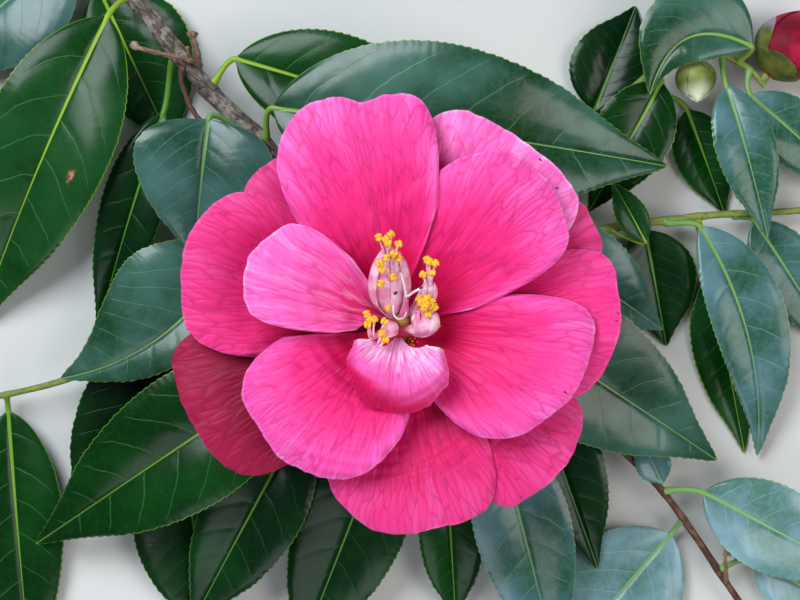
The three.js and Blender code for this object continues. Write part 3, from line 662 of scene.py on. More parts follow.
leafSizes = {
    "leaf_top": leafAt("main_branch", 0.5, (-32.5, 56, 29), (71, 41.5, 20), 46, tint="satinAndPaintedSheen"),
    "leaf_top_back": leafAt("main_branch", 0.38, (-43, 70, 19), (24, 49.5, 13), 30, tint="moss"),
    "leaf_upper_left": leafAt("main_branch", 0.22, (-77.5, 81, 19), (-116, -2, 1), 36, tint="moss",
                              scar=(0.46, -0.51)),
    "leaf_corner": leafAt("main_branch", 0.1, (-89, 100, 10), (-130, 68, 1), 36, tint="teal"),
    "leaf_behind_branch": leafAt("main_branch", 0.15, (-82, 91, 4), (-61.5, 47, 0.6), 28, arch=0.02,
                                 halves=(0.9, 1.3), tint="moss"),
    "leaf_inner_left": leafAt("main_branch", 0.48, (-49.5, 53, 29), (-54, 16.5, 21), 37, shoulder=0.6,
                              tint="teal"),
    "leaf_left_shade": leafAt("main_branch", 0.32, (-63.5, 56, 12), (-83, -3.5, 1), 18, tint="shade"),
    "leaf_left": leafAt("twig_left", 0.16, (-43, 22, 17.4), (-91, -15, 13), 44, arch=0.07, sweep=-0.13,
                        halves=(1, 0.45), tint="satinAndPaintedSheen"),
    "leaf_left_under": leafAt("twig_left", 0.4, (-57, -4, 5.5), (-90, -54, 0.6), 34, arch=0.03,
                              tint="shade"),
    "leaf_lower_left": leafAt("twig_lower_left", 0.34, (-26, -11, 25), (-98.5, -60, 8), 37),
    "leaf_far_left": leafAt("twig_left", 0.96, (-106.5, -24.5, 5), (-101, -98, 0.6), 27, arch=0.02),
    "leaf_bottom_far_left": leafAt("twig_lower_left", 0.96, (-58, -37.5, 7), (-52.5, -87, 0.6), 34,
                                   arch=0.02, tint="shade"),
    "leaf_bottom_left": leafAt("twig_lower_left", 0.5, (-26, -26, 18), (-57, -83, 6), 28, tint="shade"),
    "leaf_bottom": leafAt("twig_bottom", 0.34, (-2, -25.5, 17), (-28.5, -94, 0.6), 31, arch=0.05,
                          tint="shade"),
    "leaf_bottom_centre": leafAt("twig_bottom", 0.96, (13, -42.5, 10), (15.5, -82, 1), 18),
    "leaf_bottom_right": leafAt("twig_bottom", 0.67, (26, -28, 19), (43, -94, 5), 27, tint="paintedBlueSheen"),
    "leaf_right_low": leafAt("twig_right", 0.3, (37, -20, 10), (54, -67, 7), 24, arch=0.04, tint="shade"),
    "leaf_right": leafAt("twig_right", 0.16, (20.5, 6, 27), (85.5, -37, 12), 37, tint="satinAndPaintedSheen"),
    "leaf_right_back": leafAt("twig_upper_right", 0.28, (33.5, 23.5, 18), (71.5, -2, 8), 26, tint="teal"),
    "leaf_upper_right": leafAt("twig_buds", 0.55, (70.5, 64.5, 12), (51.5, 30, 6), 22),
    "leaf_upper_right_back": leafAt("twig_buds", 0.42, (53.5, 58, 2), (65, 87, 0.6), 24, arch=0.02,
                                    tint="shade"),
    "leaf_bud_cover": leafAt("twig_buds", 0.85, (94, 74, 15), (67, 61, 16), 30, sweep=0.3,
                             halves=(1, 0.5), tint="satinAndPaintedSheen"),
    "leaf_beside_bud": leafAt("twig_buds", 0.57, (79, 58, 2.2), (89.5, 29.5, 1), 17, arch=0.02),
    "leaf_below_bud": leafAt("twig_buds", 0.8, (88, 63.5, 12), (99.5, 23, 10), 17, tint="paintedBlueSheen"),
    "leaf_right_top": leafAt("twig_buds", 0.9, (95, 61, 10.5), (124, 36, 3), 18, tint="paintedBlueSheen"),
    "leaf_right_large": leafAt("twig_upper_right", 0.58, (81.5, 25.5, 10), (98, -36.5, 3), 21,
                               sweep=-0.07, halves=(0.85, 1.15), tint="paintedBlueSheen"),
    "leaf_right_behind": leafAt("twig_upper_right", 0.64, (85.5, 14, 1.4), (95, -36, 0.6), 19, arch=0,
                                tint="moss", hasSolid=False),
    "leaf_small_yellow": leafAt("twig_upper_right", 0.5, (66, 22, 13), (57, 38, 14), 9, tint="moss",
                                hasSolid=False),
    "leaf_small_teal": leafAt("twig_right", 0.62, (70.8, -43, 11), (64.5, -30, 9), 10, tint="paintedBlueSheen",
                              hasSolid=False),
    "leaf_right_edge": leafAt("twig_upper_right", 0.75, (97, 27.5, 5), (120.5, -8, 0.6), 19, arch=0.04,
                              tint="paintedBlueSheen"),
    "leaf_right_middle": leafAt("twig_upper_right", 0.48, (67, 25, 6), (73.5, -6.5, 1), 24, arch=0.02,
                                tint="shade"),
    "leaf_low_right": leafAt("twig_right", 0.66, (82.5, -46, 10), (127, -69.5, 4), 25, tint="paintedPaleSheen"),
    "leaf_low_right_front": leafAt("twig_right", 0.73, (74, -58, 4), (38, -100, 0.6), 35, arch=0.02,
                                   fold=0.04, tint="paintedPaleSheen"),
    "leaf_low_right_end": leafAt("twig_right", 0.82, (97.5, -65, 4), (130, -83.5, 0.6), 20, arch=0.01,
                                 tint="paintedPaleSheen"),
}
bladeForm = {
    "roundness": 0.75, "taper": 0.25, "tipDraw": 0.26, "footHalf": 1.1, "tipHalf": 0.12, "waveTurns": 9,
    "camber": 0.05, "toothEvery": 2.1, "toothRows": 4, "toothOut": 0.42, "fewestTeeth": 12, "columns": 28,
    "crowd": 1.3, "ribGroove": 0.3, "ribGrooveWidth": 0.6, "veinGroove": 0.1, "veinGrooveWidth": 0.08,
    "veinPairs": 8, "veinForward": 0.42, "veinBend": 0.034, "veinShift": 0.45, "rimDrop": 0.4,
    "thickness": 0.5, "bumps": 0.5, "bumpSize": 17, "fullWidth": 18,
    "scarSqueeze": 0.6,
}
stalkForm = {
    "share": 0.35, "outward": 0.4, "pull": 0.12, "sunk": 0.9, "foot": 1.25, "neck": 0.85, "waist": 0.08,
    "rib": 0.82, "ribEnd": 0.2, "ribReach": 0.9, "below": 0.12, "sides": 10, "steps": 46,
}
noScar = 90.0


def bladeOutline(t, shoulder):
    form = bladeForm
    body = max(math.sin(math.pi * t ** shoulder), 0.0) ** form["roundness"] * (1 - form["taper"] * t * t)
    return body * (1 - form["tipDraw"] * ease(t, 0.68, 0.96))


def bladeMesh(bm, leaf, length, frameAt, slender):
    form = bladeForm
    layers = [bm.verts.layers.float.new(key) for key in leafAttributes]
    teeth = max(form["fewestTeeth"], round(length / form["toothEvery"]))
    seed = Vector((leaf["base"].x * 0.37, leaf["base"].y * 0.53, 4.7))
    verts, faces = addGrid(bm, form["columns"], teeth * form["toothRows"])
    for vert in verts:
        across = math.copysign((2 * abs(vert.co.x)) ** form["crowd"], vert.co.x)
        share, t = abs(across), vert.co.y + 0.5
        centre, flat, normal = frameAt(t)
        halfWidth = leaf["halves"][0 if across > 0 else 1] * leaf["width"] / 2
        outline = bladeOutline(t, leaf["shoulder"]) * halfWidth
        half = max(outline, mix(form["footHalf"], form["tipHalf"], t ** 0.5))
        tooth = form["toothOut"] * ((t * teeth) % 1.0 - 0.4)
        side = half * share + tooth * ease(t, 0.08, 0.2) * ease(share, 0.93, 1.0)
        fromFoot, fromRim = t * length, half * (1 - share)
        forward = fromFoot - form["veinForward"] * side - form["veinBend"] * side ** 2
        turn = forward * form["veinPairs"] / length + form["veinShift"] * ease(-across * half, 0.0, 0.3)
        nearVein = abs((turn + 0.5) % 1.0 - 0.5) / form["veinGrooveWidth"]
        spot = Vector((across * half, fromFoot, 0)) / form["bumpSize"] + seed
        height = form["thickness"] / 2 + side * leaf["fold"]
        height += leaf["wave"] * outline * across * math.sin(form["waveTurns"] * t)
        height += form["camber"] * half * math.sin(math.pi * share)
        height -= form["ribGroove"] * math.exp(-(side / form["ribGrooveWidth"]) ** 2) * ease(t, 0.0, 0.12)
        veinFade = ease(side, 0.5, 2.5) * ease(fromRim, 0.6, 4.0)
        height -= form["veinGroove"] * math.exp(-nearVein ** 2) * veinFade
        height -= form["rimDrop"] * ease(share, 0.86, 1.0)
        height += form["bumps"] * noise.noise(spot) * ease(side, 0.8, 5)
        vert.co = centre + flat * math.copysign(side, across) + normal * height
        scar = noScar
        if leaf["scar"]:
            scarAlong, scarAcross = leaf["scar"]
            scar = math.hypot(across * half - scarAcross * leaf["width"] / 2,
                              (t - scarAlong) * length * form["scarSqueeze"])
        for layer, value in zip(layers, (across * half / slender, fromRim, turn, t, scar)):
            vert[layer] = value
    bmesh.ops.solidify(bm, geom=faces, thickness=form["thickness"])
    for face in list(bm.faces)[len(faces):2 * len(faces)]:
        face.material_index = 1  # the underside


def leafPiece(name, leaf):
    form = stalkForm
    parent = limbs[leaf["limb"]]
    foot, end = leaf["base"], leaf["tip"]
    length = (end - foot).length
    slender = limit(leaf["width"] / bladeForm["fullWidth"], 0.5)  # small leaves have thin stalks and midribs
    sideways = (end - foot).cross(up).normalized()
    middle = (foot + end) / 2 + (sideways * leaf["sweep"] + up * leaf["arch"]) * 2 * length
    outward = outwardFrom(parent, leaf["along"], foot)
    root = rootOn(parent, leaf["along"], outward)
    reach = (root - foot).length / 3
    bend = [root, root + outward * reach * form["outward"] + (foot - root) * form["pull"],
            foot - (middle - foot).normalized() * reach, foot]
    parent["joints"].append(leaf["along"])

    def frameAt(t):
        tangent = (middle - foot).lerp(end - middle, t)
        flat = tangent.cross(up).normalized()
        return bezier([foot, middle, end], t), flat, flat.cross(tangent.normalized())

    def stemRadius(s):
        if s < form["share"]:
            waist = form["waist"] * math.sin(math.pi * s / form["share"])
            return slender * (mix(form["foot"], form["neck"], ease(s, 0, 0.14)) - waist)
        return slender * mix(form["rib"], form["ribEnd"], ((s - form["share"]) / (1 - form["share"])) ** 0.5)

    def stemAt(s):  # the stalk runs on under the blade as its midrib
        if s < form["share"]:
            t = s / form["share"]
            return bezier(bend, t) - outward * form["sunk"] * (1 - t)
        t = (s - form["share"]) / (1 - form["share"]) * form["ribReach"]
        centre, flat, normal = frameAt(t)
        return centre - normal * (stemRadius(s) + form["below"]) * ease(t, 0.0, 0.05)

    bm = bmesh.new()
    bladeMesh(bm, leaf, length, frameAt, slender)
    rollUp(bm, stemAt, stemRadius, form["sides"], form["steps"])
    scarLayer = bm.verts.layers.float["scarDistance"]
    for vert in bm.verts:
        vert[scarLayer] = vert[scarLayer] or noScar
    bmesh.ops.remove_doubles(bm, verts=bm.verts, dist=0.0005)
    materials = [leafMaterials[leaf["tint"]], leafMaterials["under"]]
    finishPiece(name, bm, materials, "leaf", sharp=60, recalc=False, hasSolid=leaf["hasSolid"])


for leafName, leafSize in leafSizes.items():
    leafPiece(leafName, leafSize)
print("leaves ready")


# The limbs' own skins, with a swelling at each joint with a leaf

barkForm = {"ridge": 0.16, "youngRidge": 0.4, "lump": 0.22, "swell": 0.35, "swellLength": 2.2,
            "mostSwell": 1.3, "fullRadius": 2.6, "sunk": 0.35}
stubForm = {"thinning": 0.25, "knobFrom": 0.72, "knobTo": 0.86, "endReach": 0.145, "rough": 0.3, "gnarl": 0.7,
            "sides": 14, "steps": 46}

# dry leftovers of old twigs: a line outward, its half thickness, the knob at its end and its skin
deadStubs = {
    "main_branch": [
        ([(-52.9, 68.6, 15.5), (-55.4, 69.6, 19.5), (-58.4, 70.3, 20.5), (-63.1, 71.3, 21),
          (-67.5, 72.3, 21.5), (-69.6, 73.1, 21.5), (-70.5, 74.2, 21)], 0.8, 0.5, 1),
        ([(-53.7, 68.6, 15), (-53.3, 70.8, 18.5), (-53.7, 73.3, 20), (-54.5, 75.3, 20.5),
          (-54.7, 77.2, 20.5)], 0.9, 0.8, 1),
        ([(-56.4, 69.7, 15), (-57.7, 67.4, 18), (-57.6, 64.2, 21), (-56.5, 61, 23.5), (-55, 57.4, 25.5),
          (-53, 54.3, 27), (-51, 51.9, 28.3), (-49.9, 50.8, 28.6)], 0.85, 0.1, 2),
        ([(-56.1, 69.6, 15.5), (-55.9, 71.3, 19), (-56.1, 73.3, 20)], 0.55, 0.25, 1),
    ],
    "twig_right": [
        ([(89, -70.6, 6.2), (88.3, -67, 9.5), (87.9, -63, 11), (88.3, -59.5, 11.5), (89, -56.8, 11.5)],
         0.7, 0.35, 1),
        ([(88, -62.2, 11), (89.8, -62.4, 11.4), (91.6, -61.6, 11)], 0.5, 0.25, 1),
    ],
}


def addStub(bm, points, thick, knob, skin):
    form = stubForm

    def radiusAt(t):
        grown = knob * ease(t, form["knobFrom"], form["knobTo"])
        body = thick * (1 - form["thinning"] * ease(t, 0, 0.4)) + grown
        return body * math.sqrt(1 - (max(t - form["knobTo"], 0) / form["endReach"]) ** 2)

    def relief(t, turn):
        spot = Vector((math.cos(turn), math.sin(turn), t * 9))
        gnarl = form["gnarl"] * knob * noise.noise(spot * 2.9) * ease(t, 0.7, 0.8)
        return form["rough"] * thick * noise.noise(spot * 1.7) + gnarl

    rollUp(bm, smoothLine(points), radiusAt, form["sides"], form["steps"], relief=relief, material=skin)


def limbPiece(name, limb):
    form = barkForm
    lineAt = limb["pointAt"]
    length = sum((lineAt((i + 1) / 40) - lineAt(i / 40)).length for i in range(40))
    scale = limb["radii"][0] / form["fullRadius"]
    ridges = form["ridge"] * (form["youngRidge"] if limb["skin"] == "greenBark" else 1)

    def relief(t, turn):
        ring = Vector((math.cos(turn) * 2.2, math.sin(turn) * 2.2, t * length * 0.12))
        lump = noise.noise(ring * 0.6) * form["lump"]
        ridge = noise.noise(Vector((ring.x * 2.1, ring.y * 2.1, ring.z * 1.6))) * ridges
        swell = sum(math.exp(-((t - joint) * length / form["swellLength"]) ** 2) for joint in limb["joints"])
        return scale * (lump + ridge + min(swell, form["mostSwell"]) * form["swell"])

    def pointAt(t):
        if not limb["from"]:
            return lineAt(t)
        parentName, along = limb["from"]
        parent = limbs[parentName]["pointAt"](along)
        return lineAt(t).lerp(parent, form["sunk"] * (1 - ease(t, 0, 0.03)))

    bm = bmesh.new()
    rollUp(bm, pointAt, limb["radiusAt"], limb["sides"], limb["steps"], relief=relief)
    for stub in deadStubs.get(name, []):
        addStub(bm, *stub)
    materials = [limbMaterials[skin] for skin in (limb["skin"], "dryBark", "redBark")]
    finishPiece(name, bm, materials, limb["slot"])


for limbName, limb in limbs.items():
    limbPiece(limbName, limb)
print("limbs ready")


# Petals, from the back of the bloom to the front, each lying on those behind it. Each has its bearing and
# half its spread in degrees, the heights of its foot and rim, and its reach from the axis across its fan.
# Its marks are dark specks, each at a bearing and a distance from the axis

petalDefaults = {"rise": 1.25, "cup": -1, "recurve": 2.5, "ruffle": 1.1, "waves": 1.5, "phase": 0, "notch": 0,
                 "crease": 0, "notchAt": 0, "tint": "outer", "claw": 0.15, "clawSpan": (0, 0.7), "curl": 0.9,
                 "curlFrom": 0.88, "folds": 0, "pleats": 1, "paleSides": 0, "blush": 0, "marks": (),
                 "inset": None}


def petalAt(bearing, spread, base, rim, reach, **changes):
    return {**petalDefaults, "bearing": bearing, "spread": spread, "base": base, "rim": rim, "reach": reach,
            **changes}


petalSizes = {
    "petal_back_right": petalAt(30, 24, 42, 52.5, (40, 50, 54.5, 54.8, 53, 48, 38)),
    "petal_back_left": petalAt(130, 24, 42.2, 53.5, (42, 48, 50.5, 51.6, 51.2, 48, 40)),
    "petal_outer_lower_left": petalAt(206, 30, 42.4, 53.5, (44, 55.8, 57.4, 57, 56.3, 52.2, 40), phase=1,
                                      tint="deep"),
    "petal_outer_lower_right": petalAt(318, 26, 42.6, 53.5, (44, 52.4, 53.8, 54, 53.5, 50, 38), phase=2,
                                       marks=[(305, 52.3)]),
    "petal_outer_bottom": petalAt(270, 38, 43, 56, (32, 41.5, 49.4, 52, 51.3, 50.8, 42), phase=0.5),
    "petal_outer_upper_right": petalAt(55, 33, 43.4, 58.5, (38, 53, 54.8, 54.4, 55, 54.6, 46), phase=2.4,
                                       tint="pale", marks=[(49.8, 53.4), (40.5, 51.5)]),
    "petal_outer_right": petalAt(-2, 30, 43.8, 56.5, (38, 47.5, 52.3, 54.6, 55.1, 54.5, 42), phase=1.2,
                                 tint="lilac", marks=[(2.8, 53.9), (0.7, 53.8)]),
    "petal_outer_left": petalAt(162, 32, 44.4, 58.5, (40, 51, 55.4, 56, 54.2, 51, 40), phase=3),
    "petal_inner_lower_right": petalAt(-25, 45, 45.6, 62, (18, 33.8, 40.4, 44.6, 47.6, 45.5, 24), rise=2,
                                       cup=-2.5, recurve=3, phase=1, tint="front", marks=[(-21.3, 43.6)]),
    "petal_inner_upper_right": petalAt(46, 34, 46.2, 64, (22, 43.5, 48.4, 50.8, 49.6, 44.5, 37), rise=1.8,
                                       cup=-2, recurve=3, tint="front"),
    "petal_inner_top": petalAt(105, 33, 46.8, 64.4, (36, 53.5, 56.8, 57.5, 57.3, 49, 33), rise=1.8,
                               cup=-2, recurve=3, phase=2, notch=2.6, crease=1.2, notchAt=-0.17,
                               tint="front"),
    "petal_inner_lower_left": petalAt(234, 48, 47.4, 62, (33.5, 41, 43, 43.2, 40.2, 31.5, 20), rise=2,
                                      cup=-2.5, recurve=3, phase=4, tint="front"),
    "petal_inner_left": petalAt(156, 31, 48.4, 67, (23, 34.8, 38.2, 39.5, 39, 34.8, 19), rise=1.9, cup=1,
                                phase=2, tint="pale", claw=0.68, clawSpan=(0.12, 0.6)),
    "petaloid": petalAt(265, 66, 50, 69, (12.2, 16.4, 19.9, 21.7, 21, 18.3, 13), rise=2.6, cup=0,
                        recurve=6, ruffle=0.5, tint="curled", curl=4.6, curlFrom=0.5, claw=0.1, folds=1.8,
                        paleSides=0.5, blush=0.5, pleats=2.0,
                        inset=(7.6, 6.7, 6.3, 3.6, 2.2, 2.8, 5.6, 7.2, 8.2)),
}
petalNames, petalList = list(petalSizes), list(petalSizes.values())
stack = {"step": 1.6, "shelf": 2, "fall": 10, "easing": 0.8, "sideWeight": 12, "notchWidth": 0.12}
receptacleFoot, receptacleTop = (5.4, 40.5), (2.3, 51.0)  # radius and height
petalForm = {"columns": 76, "rows": 76, "thickness": 0.45, "corner": 0.16, "cornerFrom": 0.78, "crinkle": 1.2,
             "pleat": 0.30, "swell": 0.55, "frill": 0.8, "blushAt": -0.45, "blushWidth": 0.35}
markForm = {"radii": (0.22, 0.16, 0.5), "segments": (8, 6), "roughness": 0.4}


def receptacleRadius(z):
    share = np.clip((z - receptacleFoot[1]) / (receptacleTop[1] - receptacleFoot[1]), 0, 1)
    return mix(receptacleFoot[0], receptacleTop[0], share)


def petalNotch(petal, share):
    return np.exp(-((share - petal["notchAt"]) / stack["notchWidth"]) ** 2)


def acrossFan(values, share):
    values = np.array(values, float)
    steps = len(values) - 1
    spot = np.clip((share + 1) / 2, 0, 1) * steps
    cell = np.minimum(spot.astype(int), steps - 1)
    a, b, c, d = (values[np.clip(cell + i, 0, steps)] for i in (-1, 0, 1, 2))
    f = spot - cell
    return b + 0.5 * f * (c - a + f * (2 * a - 5 * b + 4 * c - d + f * (3 * (b - c) + d - a)))


def petalReach(petal, share):
    return acrossFan(petal["reach"], share) - petal["notch"] * petalNotch(petal, share)


def petalShare(petal, angle):
    return ((angle - petal["bearing"] + 180) % 360 - 180) / petal["spread"]


def smoothMax(a, b):
    return 0.5 * (a + b + np.hypot(a - b, stack["easing"]))


def petalOwnHeight(petal, share, radius):
    foot = receptacleRadius(petal["base"]) + seat
    out = np.clip((radius - foot) / (max(petal["reach"]) - foot), 0, 1)
    across = np.clip(share, -1, 1)
    climb = 1 - (1 - out) ** petal["rise"]
    return (petal["base"] + (petal["rim"] - petal["base"]) * climb - petal["recurve"] * out ** 4
            + petal["cup"] * across ** 2 * out - petal["crease"] * out * petalNotch(petal, across)
            + petal["ruffle"] * out ** 3 * np.sin(petal["waves"] * np.pi * across + petal["phase"]))


def petalPast(petal, share, radius):
    beside = (radius + stack["sideWeight"]) * np.radians(petal["spread"]) * np.maximum(np.abs(share) - 1, 0)
    beyond = np.maximum(radius - petalReach(petal, share), 0)
    return np.maximum(np.hypot(beside, beyond) - stack["shelf"], 0)


def petalHeight(number, angle, radius):
    # a petal's own height, raised over every petal behind it; past its rim a petal falls away
    below = np.full(np.shape(angle), -1000.0)
    for petal in petalList[:number + 1]:
        share = petalShare(petal, angle)
        height = smoothMax(petalOwnHeight(petal, share, radius), below + stack["step"])
        below = smoothMax(below, height - petalPast(petal, share, radius) ** 2 / (2 * stack["fall"]))
    return height


def noiseAt(*rows):
    # the noise at points whose x, y and z are given as arrays or single numbers
    return np.array([noise.noise(Vector(point)) for point in zip(*np.broadcast_arrays(*rows))])


def petalPiece(number):
    form, petal = petalForm, petalList[number]
    bm = bmesh.new()
    layers = [bm.verts.layers.float.new(key) for key in petalAttributes]
    verts, faces = addGrid(bm, form["columns"], form["rows"])
    x = np.array([2 * vert.co.x for vert in verts])
    y = np.array([vert.co.y + 0.5 for vert in verts])
    share = -0.5 * (x + np.sin(0.5 * np.pi * x))
    clawStart, clawEnd = petal["clawSpan"]
    widen = np.clip((y - clawStart) / (clawEnd - clawStart), 0, 1)
    claw = 1 - petal["claw"] * (1 - widen * widen * (3 - 2 * widen))
    angle = petal["bearing"] + share * petal["spread"] * claw
    foot = receptacleRadius(petal["base"]) + seat
    if petal["inset"]:
        foot = np.maximum(foot, acrossFan(petal["inset"], share))
    crinkle = 0.7 * noiseAt(angle * 0.10, number * 3.1, 0.3) + 0.3 * noiseAt(angle * 0.42, number * 3.1, 5.3)
    reach = petalReach(petal, share) + form["crinkle"] * crinkle
    rounding = np.clip((np.abs(share) - form["cornerFrom"]) / (1 - form["cornerFrom"]), 0, 1) ** 2
    reach = reach - form["corner"] * rounding * (reach - foot)
    radius = foot + (reach - foot) * y
    inner = np.minimum(radius, 40) / 20
    relief = (form["pleat"] * petal["pleats"] * noiseAt(angle * 0.30, radius * 0.05, number * 2.3)
              + petal["folds"] * noiseAt(angle * 0.075, radius * 0.04, number * 1.9 + 4)
              + form["swell"] * noiseAt(angle * 0.05 * inner, radius * 0.06, number * 1.7 + 9))
    curl = np.clip((y - petal["curlFrom"]) / (1 - petal["curlFrom"]), 0, 1) ** 2
    height = petalHeight(number, angle, radius) + form["thickness"] / 2 + relief * np.clip(y * 3, 0, 1)
    height += form["frill"] * noiseAt(angle * 0.13, number * 4.7, 2.1) * y ** 5 - petal["curl"] * curl
    turn = np.radians(angle)
    fromSide = (1 - np.abs(share)) * np.radians(petal["spread"]) * radius
    # toward the lower left the colour runs on to the margin's crimson: partly underside colour, partly
    # painted shade
    blush = petal["blush"] * np.exp(-((share - form["blushAt"]) / form["blushWidth"]) ** 2) * y ** 2
    outShare = y * (1 - petal["paleSides"] * share ** 2) + blush
    values = (angle - petal["bearing"] + 100 * number, radius, outShare, np.minimum(reach - radius, fromSide))
    for i, vert in enumerate(verts):
        vert.co = (radius[i] * math.cos(turn[i]), radius[i] * math.sin(turn[i]), height[i])
        for layer, value in zip(layers, values):
            vert[layer] = value[i]
    spots = []
    for bearing, out in petal["marks"]:
        nearest = np.argmin(np.hypot(np.radians(angle - bearing) * out, radius - out))
        spots.append(verts[nearest].co.copy())
    bmesh.ops.solidify(bm, geom=faces, thickness=form["thickness"])
    for i, spot in enumerate(spots):
        addOval(bm, spot, Vector((1, i % 3 - 1, 0)), markForm["radii"], 1, markForm["segments"],
                markForm["roughness"])
    materials = [petalMaterials[petal["tint"]], skins["fleck"]]
    finishPiece(petalNames[number], bm, materials, "petal", sharp=70, recalc=False)


for petalNumber in range(len(petalList)):
    petalPiece(petalNumber)
print("petals ready")


# Stamens: flat joined filaments round a hollow bundle, with thin ones that carry the anthers

stamenSizes = {
    "stamens_upper_left": {
        "path": [(-1.2, 1.5, 51.6), (-2.2, 7.2, 56.5), (-2.2, 13, 62.5), (-2.0, 19.2, 69)],
        "girth": (0.9, 4.4, 4.3, 1.3), "flat": 0.6, "straps": 9,
        "anthers": [(-4.8, 21.0, 71), (-1.9, 21.7, 72), (-0.1, 19.4, 72), (-1.3, 17.0, 71), (-3.0, 16.1, 71),
                    (-0.2, 16.1, 70), (-4.6, 14.9, 70), (-4.1, 13.3, 69.5), (-1.4, 11.6, 68),
                    (-4.4, 10.0, 66.5), (-3.2, 20.6, 71), (-2.6, 19.6, 71.5)],
        "crumbs": [((-0.9, 8.1, 61.7), (0.6, 0.6, 0.9), 3), ((-2.7, 4.4, 58.5), (0.8, 0.6, 1.6), 1)]},
    "stamens_right": {
        "path": [(1.4, 1.2, 51.6), (4.6, 4.2, 56.5), (7.0, 7.5, 61), (7.5, 11.2, 64.5)],
        "girth": (0.7, 1.5, 2.0, 1.1), "flat": 0.6, "straps": 7,
        "anthers": [(6.7, 15.8, 68), (8.7, 14.9, 68), (7.9, 12.7, 67), (5.8, 12.2, 66.5), (7.3, 15.3, 68.3)]},
    "stamens_lower_right": {
        "path": [(1.3, -0.9, 51.6), (4.8, -1.1, 56), (6.5, 0.9, 60), (6.4, 3.8, 62.5)],
        "girth": (0.7, 1.7, 3.1, 2.2), "flat": 0.75, "straps": 7,
        "anthers": [(6.4, 5.7, 64.5), (7.6, 4.6, 64.6), (7.0, 2.7, 64.4), (5.4, 5.2, 64.6), (6.0, 4.2, 65.2),
                    (7.9, 5.6, 64.4), (6.9, 6.6, 64.4), (4.9, 6.3, 64), (8.6, 4.4, 64), (6.7, 5.0, 65.6)]},
    "stamens_lower_left": {
        "path": [(-1.1, -0.7, 51.6), (-2.1, -1.0, 55.5), (-3.9, -2.3, 58.6)],
        "girth": (0.7, 1.7, 0.9), "flat": 0.8, "straps": 5, "bow": (-1.6, -2.6, 0.4),
        "anthers": [(-7.8, 2.7, 63), (-6.0, 1.4, 63.6), (-7.6, 0.2, 63), (-3.5, 0.9, 63), (-4.1, -2.0, 63),
                    (-7.1, 1.5, 63.2), (-3.3, -3.5, 62.4)]},
}
antherForm = {"half": 0.95, "radius": 0.55, "apart": 0.40, "turn": 2.4}
filamentForm = {"radius": 0.25, "rootRadius": 0.325, "least": 0.22, "cover": 0.71, "flatten": 0.3,
                "rise": 1.2, "core": 0.96, "leastCore": 0.2, "narrowing": 0.55, "below": 0.3,
                "rootSpan": (0.1, 0.75)}


def addAnther(bm, spot, along, number):
    axis = (along * 0.35 + Quaternion(up, antherForm["turn"] * number) @ Vector((1, 0, 0))).normalized()
    beside = axis.cross(up).normalized() * antherForm["apart"]
    radius = antherForm["radius"]
    for centre in (spot - beside, spot + beside):
        addOval(bm, centre, axis, (radius, radius, antherForm["half"]), 1)


def stamenPiece(name, size):
    form = filamentForm
    axisAt = smoothLine(size["path"])
    girthLine = smoothLine([(girth, 0, 0) for girth in size["girth"]])
    sideways = (axisAt(1) - axisAt(0)).cross(up).normalized()
    straps, flat = size["straps"], size["flat"]
    bm = bmesh.new()

    def girthAt(t):
        return girthLine(t).x

    def roundAt(t, turn):
        along = heading(axisAt, t, 0.01)
        first = (sideways - along * along.dot(sideways)).normalized()
        return first * math.sin(turn) + first.cross(along) * math.cos(turn) * flat

    def coreRadius(t):
        return max(girthAt(t) * form["core"], form["leastCore"]) * (1 - 0.7 * ease(t, 0.9, 1.0))

    def addStrap(turn, share):
        def pointAt(t):
            return axisAt(t * share) + roundAt(t * share, turn) * girthAt(t * share)

        def radiusAt(t):
            around = math.pi * girthAt(t * share) * (1 + flat)
            cover = form["cover"] * (1 - form["narrowing"] * ease(t, 0.8, 1.0))
            return max(around / straps * cover, form["least"])

        rollUp(bm, pointAt, radiusAt, 10, 30, form["flatten"], facing=lambda t: roundAt(t * share, turn))

    for i in range(straps):
        addStrap(2 * math.pi * (i + 0.5) / straps, 1.0 - 0.05 * (i * 7 % 3))
    bow = Vector(size.get("bow", (0, 0, 0))) + up * form["rise"]
    for i, spot in enumerate(size["anthers"]):
        end = Vector(spot)
        near = min((step / 20 for step in range(21)), key=lambda t: (axisAt(t) - end).length)
        root = axisAt(limit(near - form["below"], *form["rootSpan"]))
        stem = smoothLine([root, (root + end) / 2 + bow, end])
        rollUp(bm, stem, lambda t: mix(form["rootRadius"], form["radius"], t), 8, 16)
        addAnther(bm, end, heading(stem, 1.0, 0.02), i)
    for spot, radii, material in size.get("crumbs", []):
        addOval(bm, Vector(spot), Vector((0, -0.7, 0.7)), radii, material)
    rollUp(bm, axisAt, coreRadius, 16, 16, flat, material=2)
    finishPiece(name, bm, [skins[skin] for skin in ("filament", "anther", "inner", "fleck")], "stamen")


for stamenName, stamenSize in stamenSizes.items():
    stamenPiece(stamenName, stamenSize)

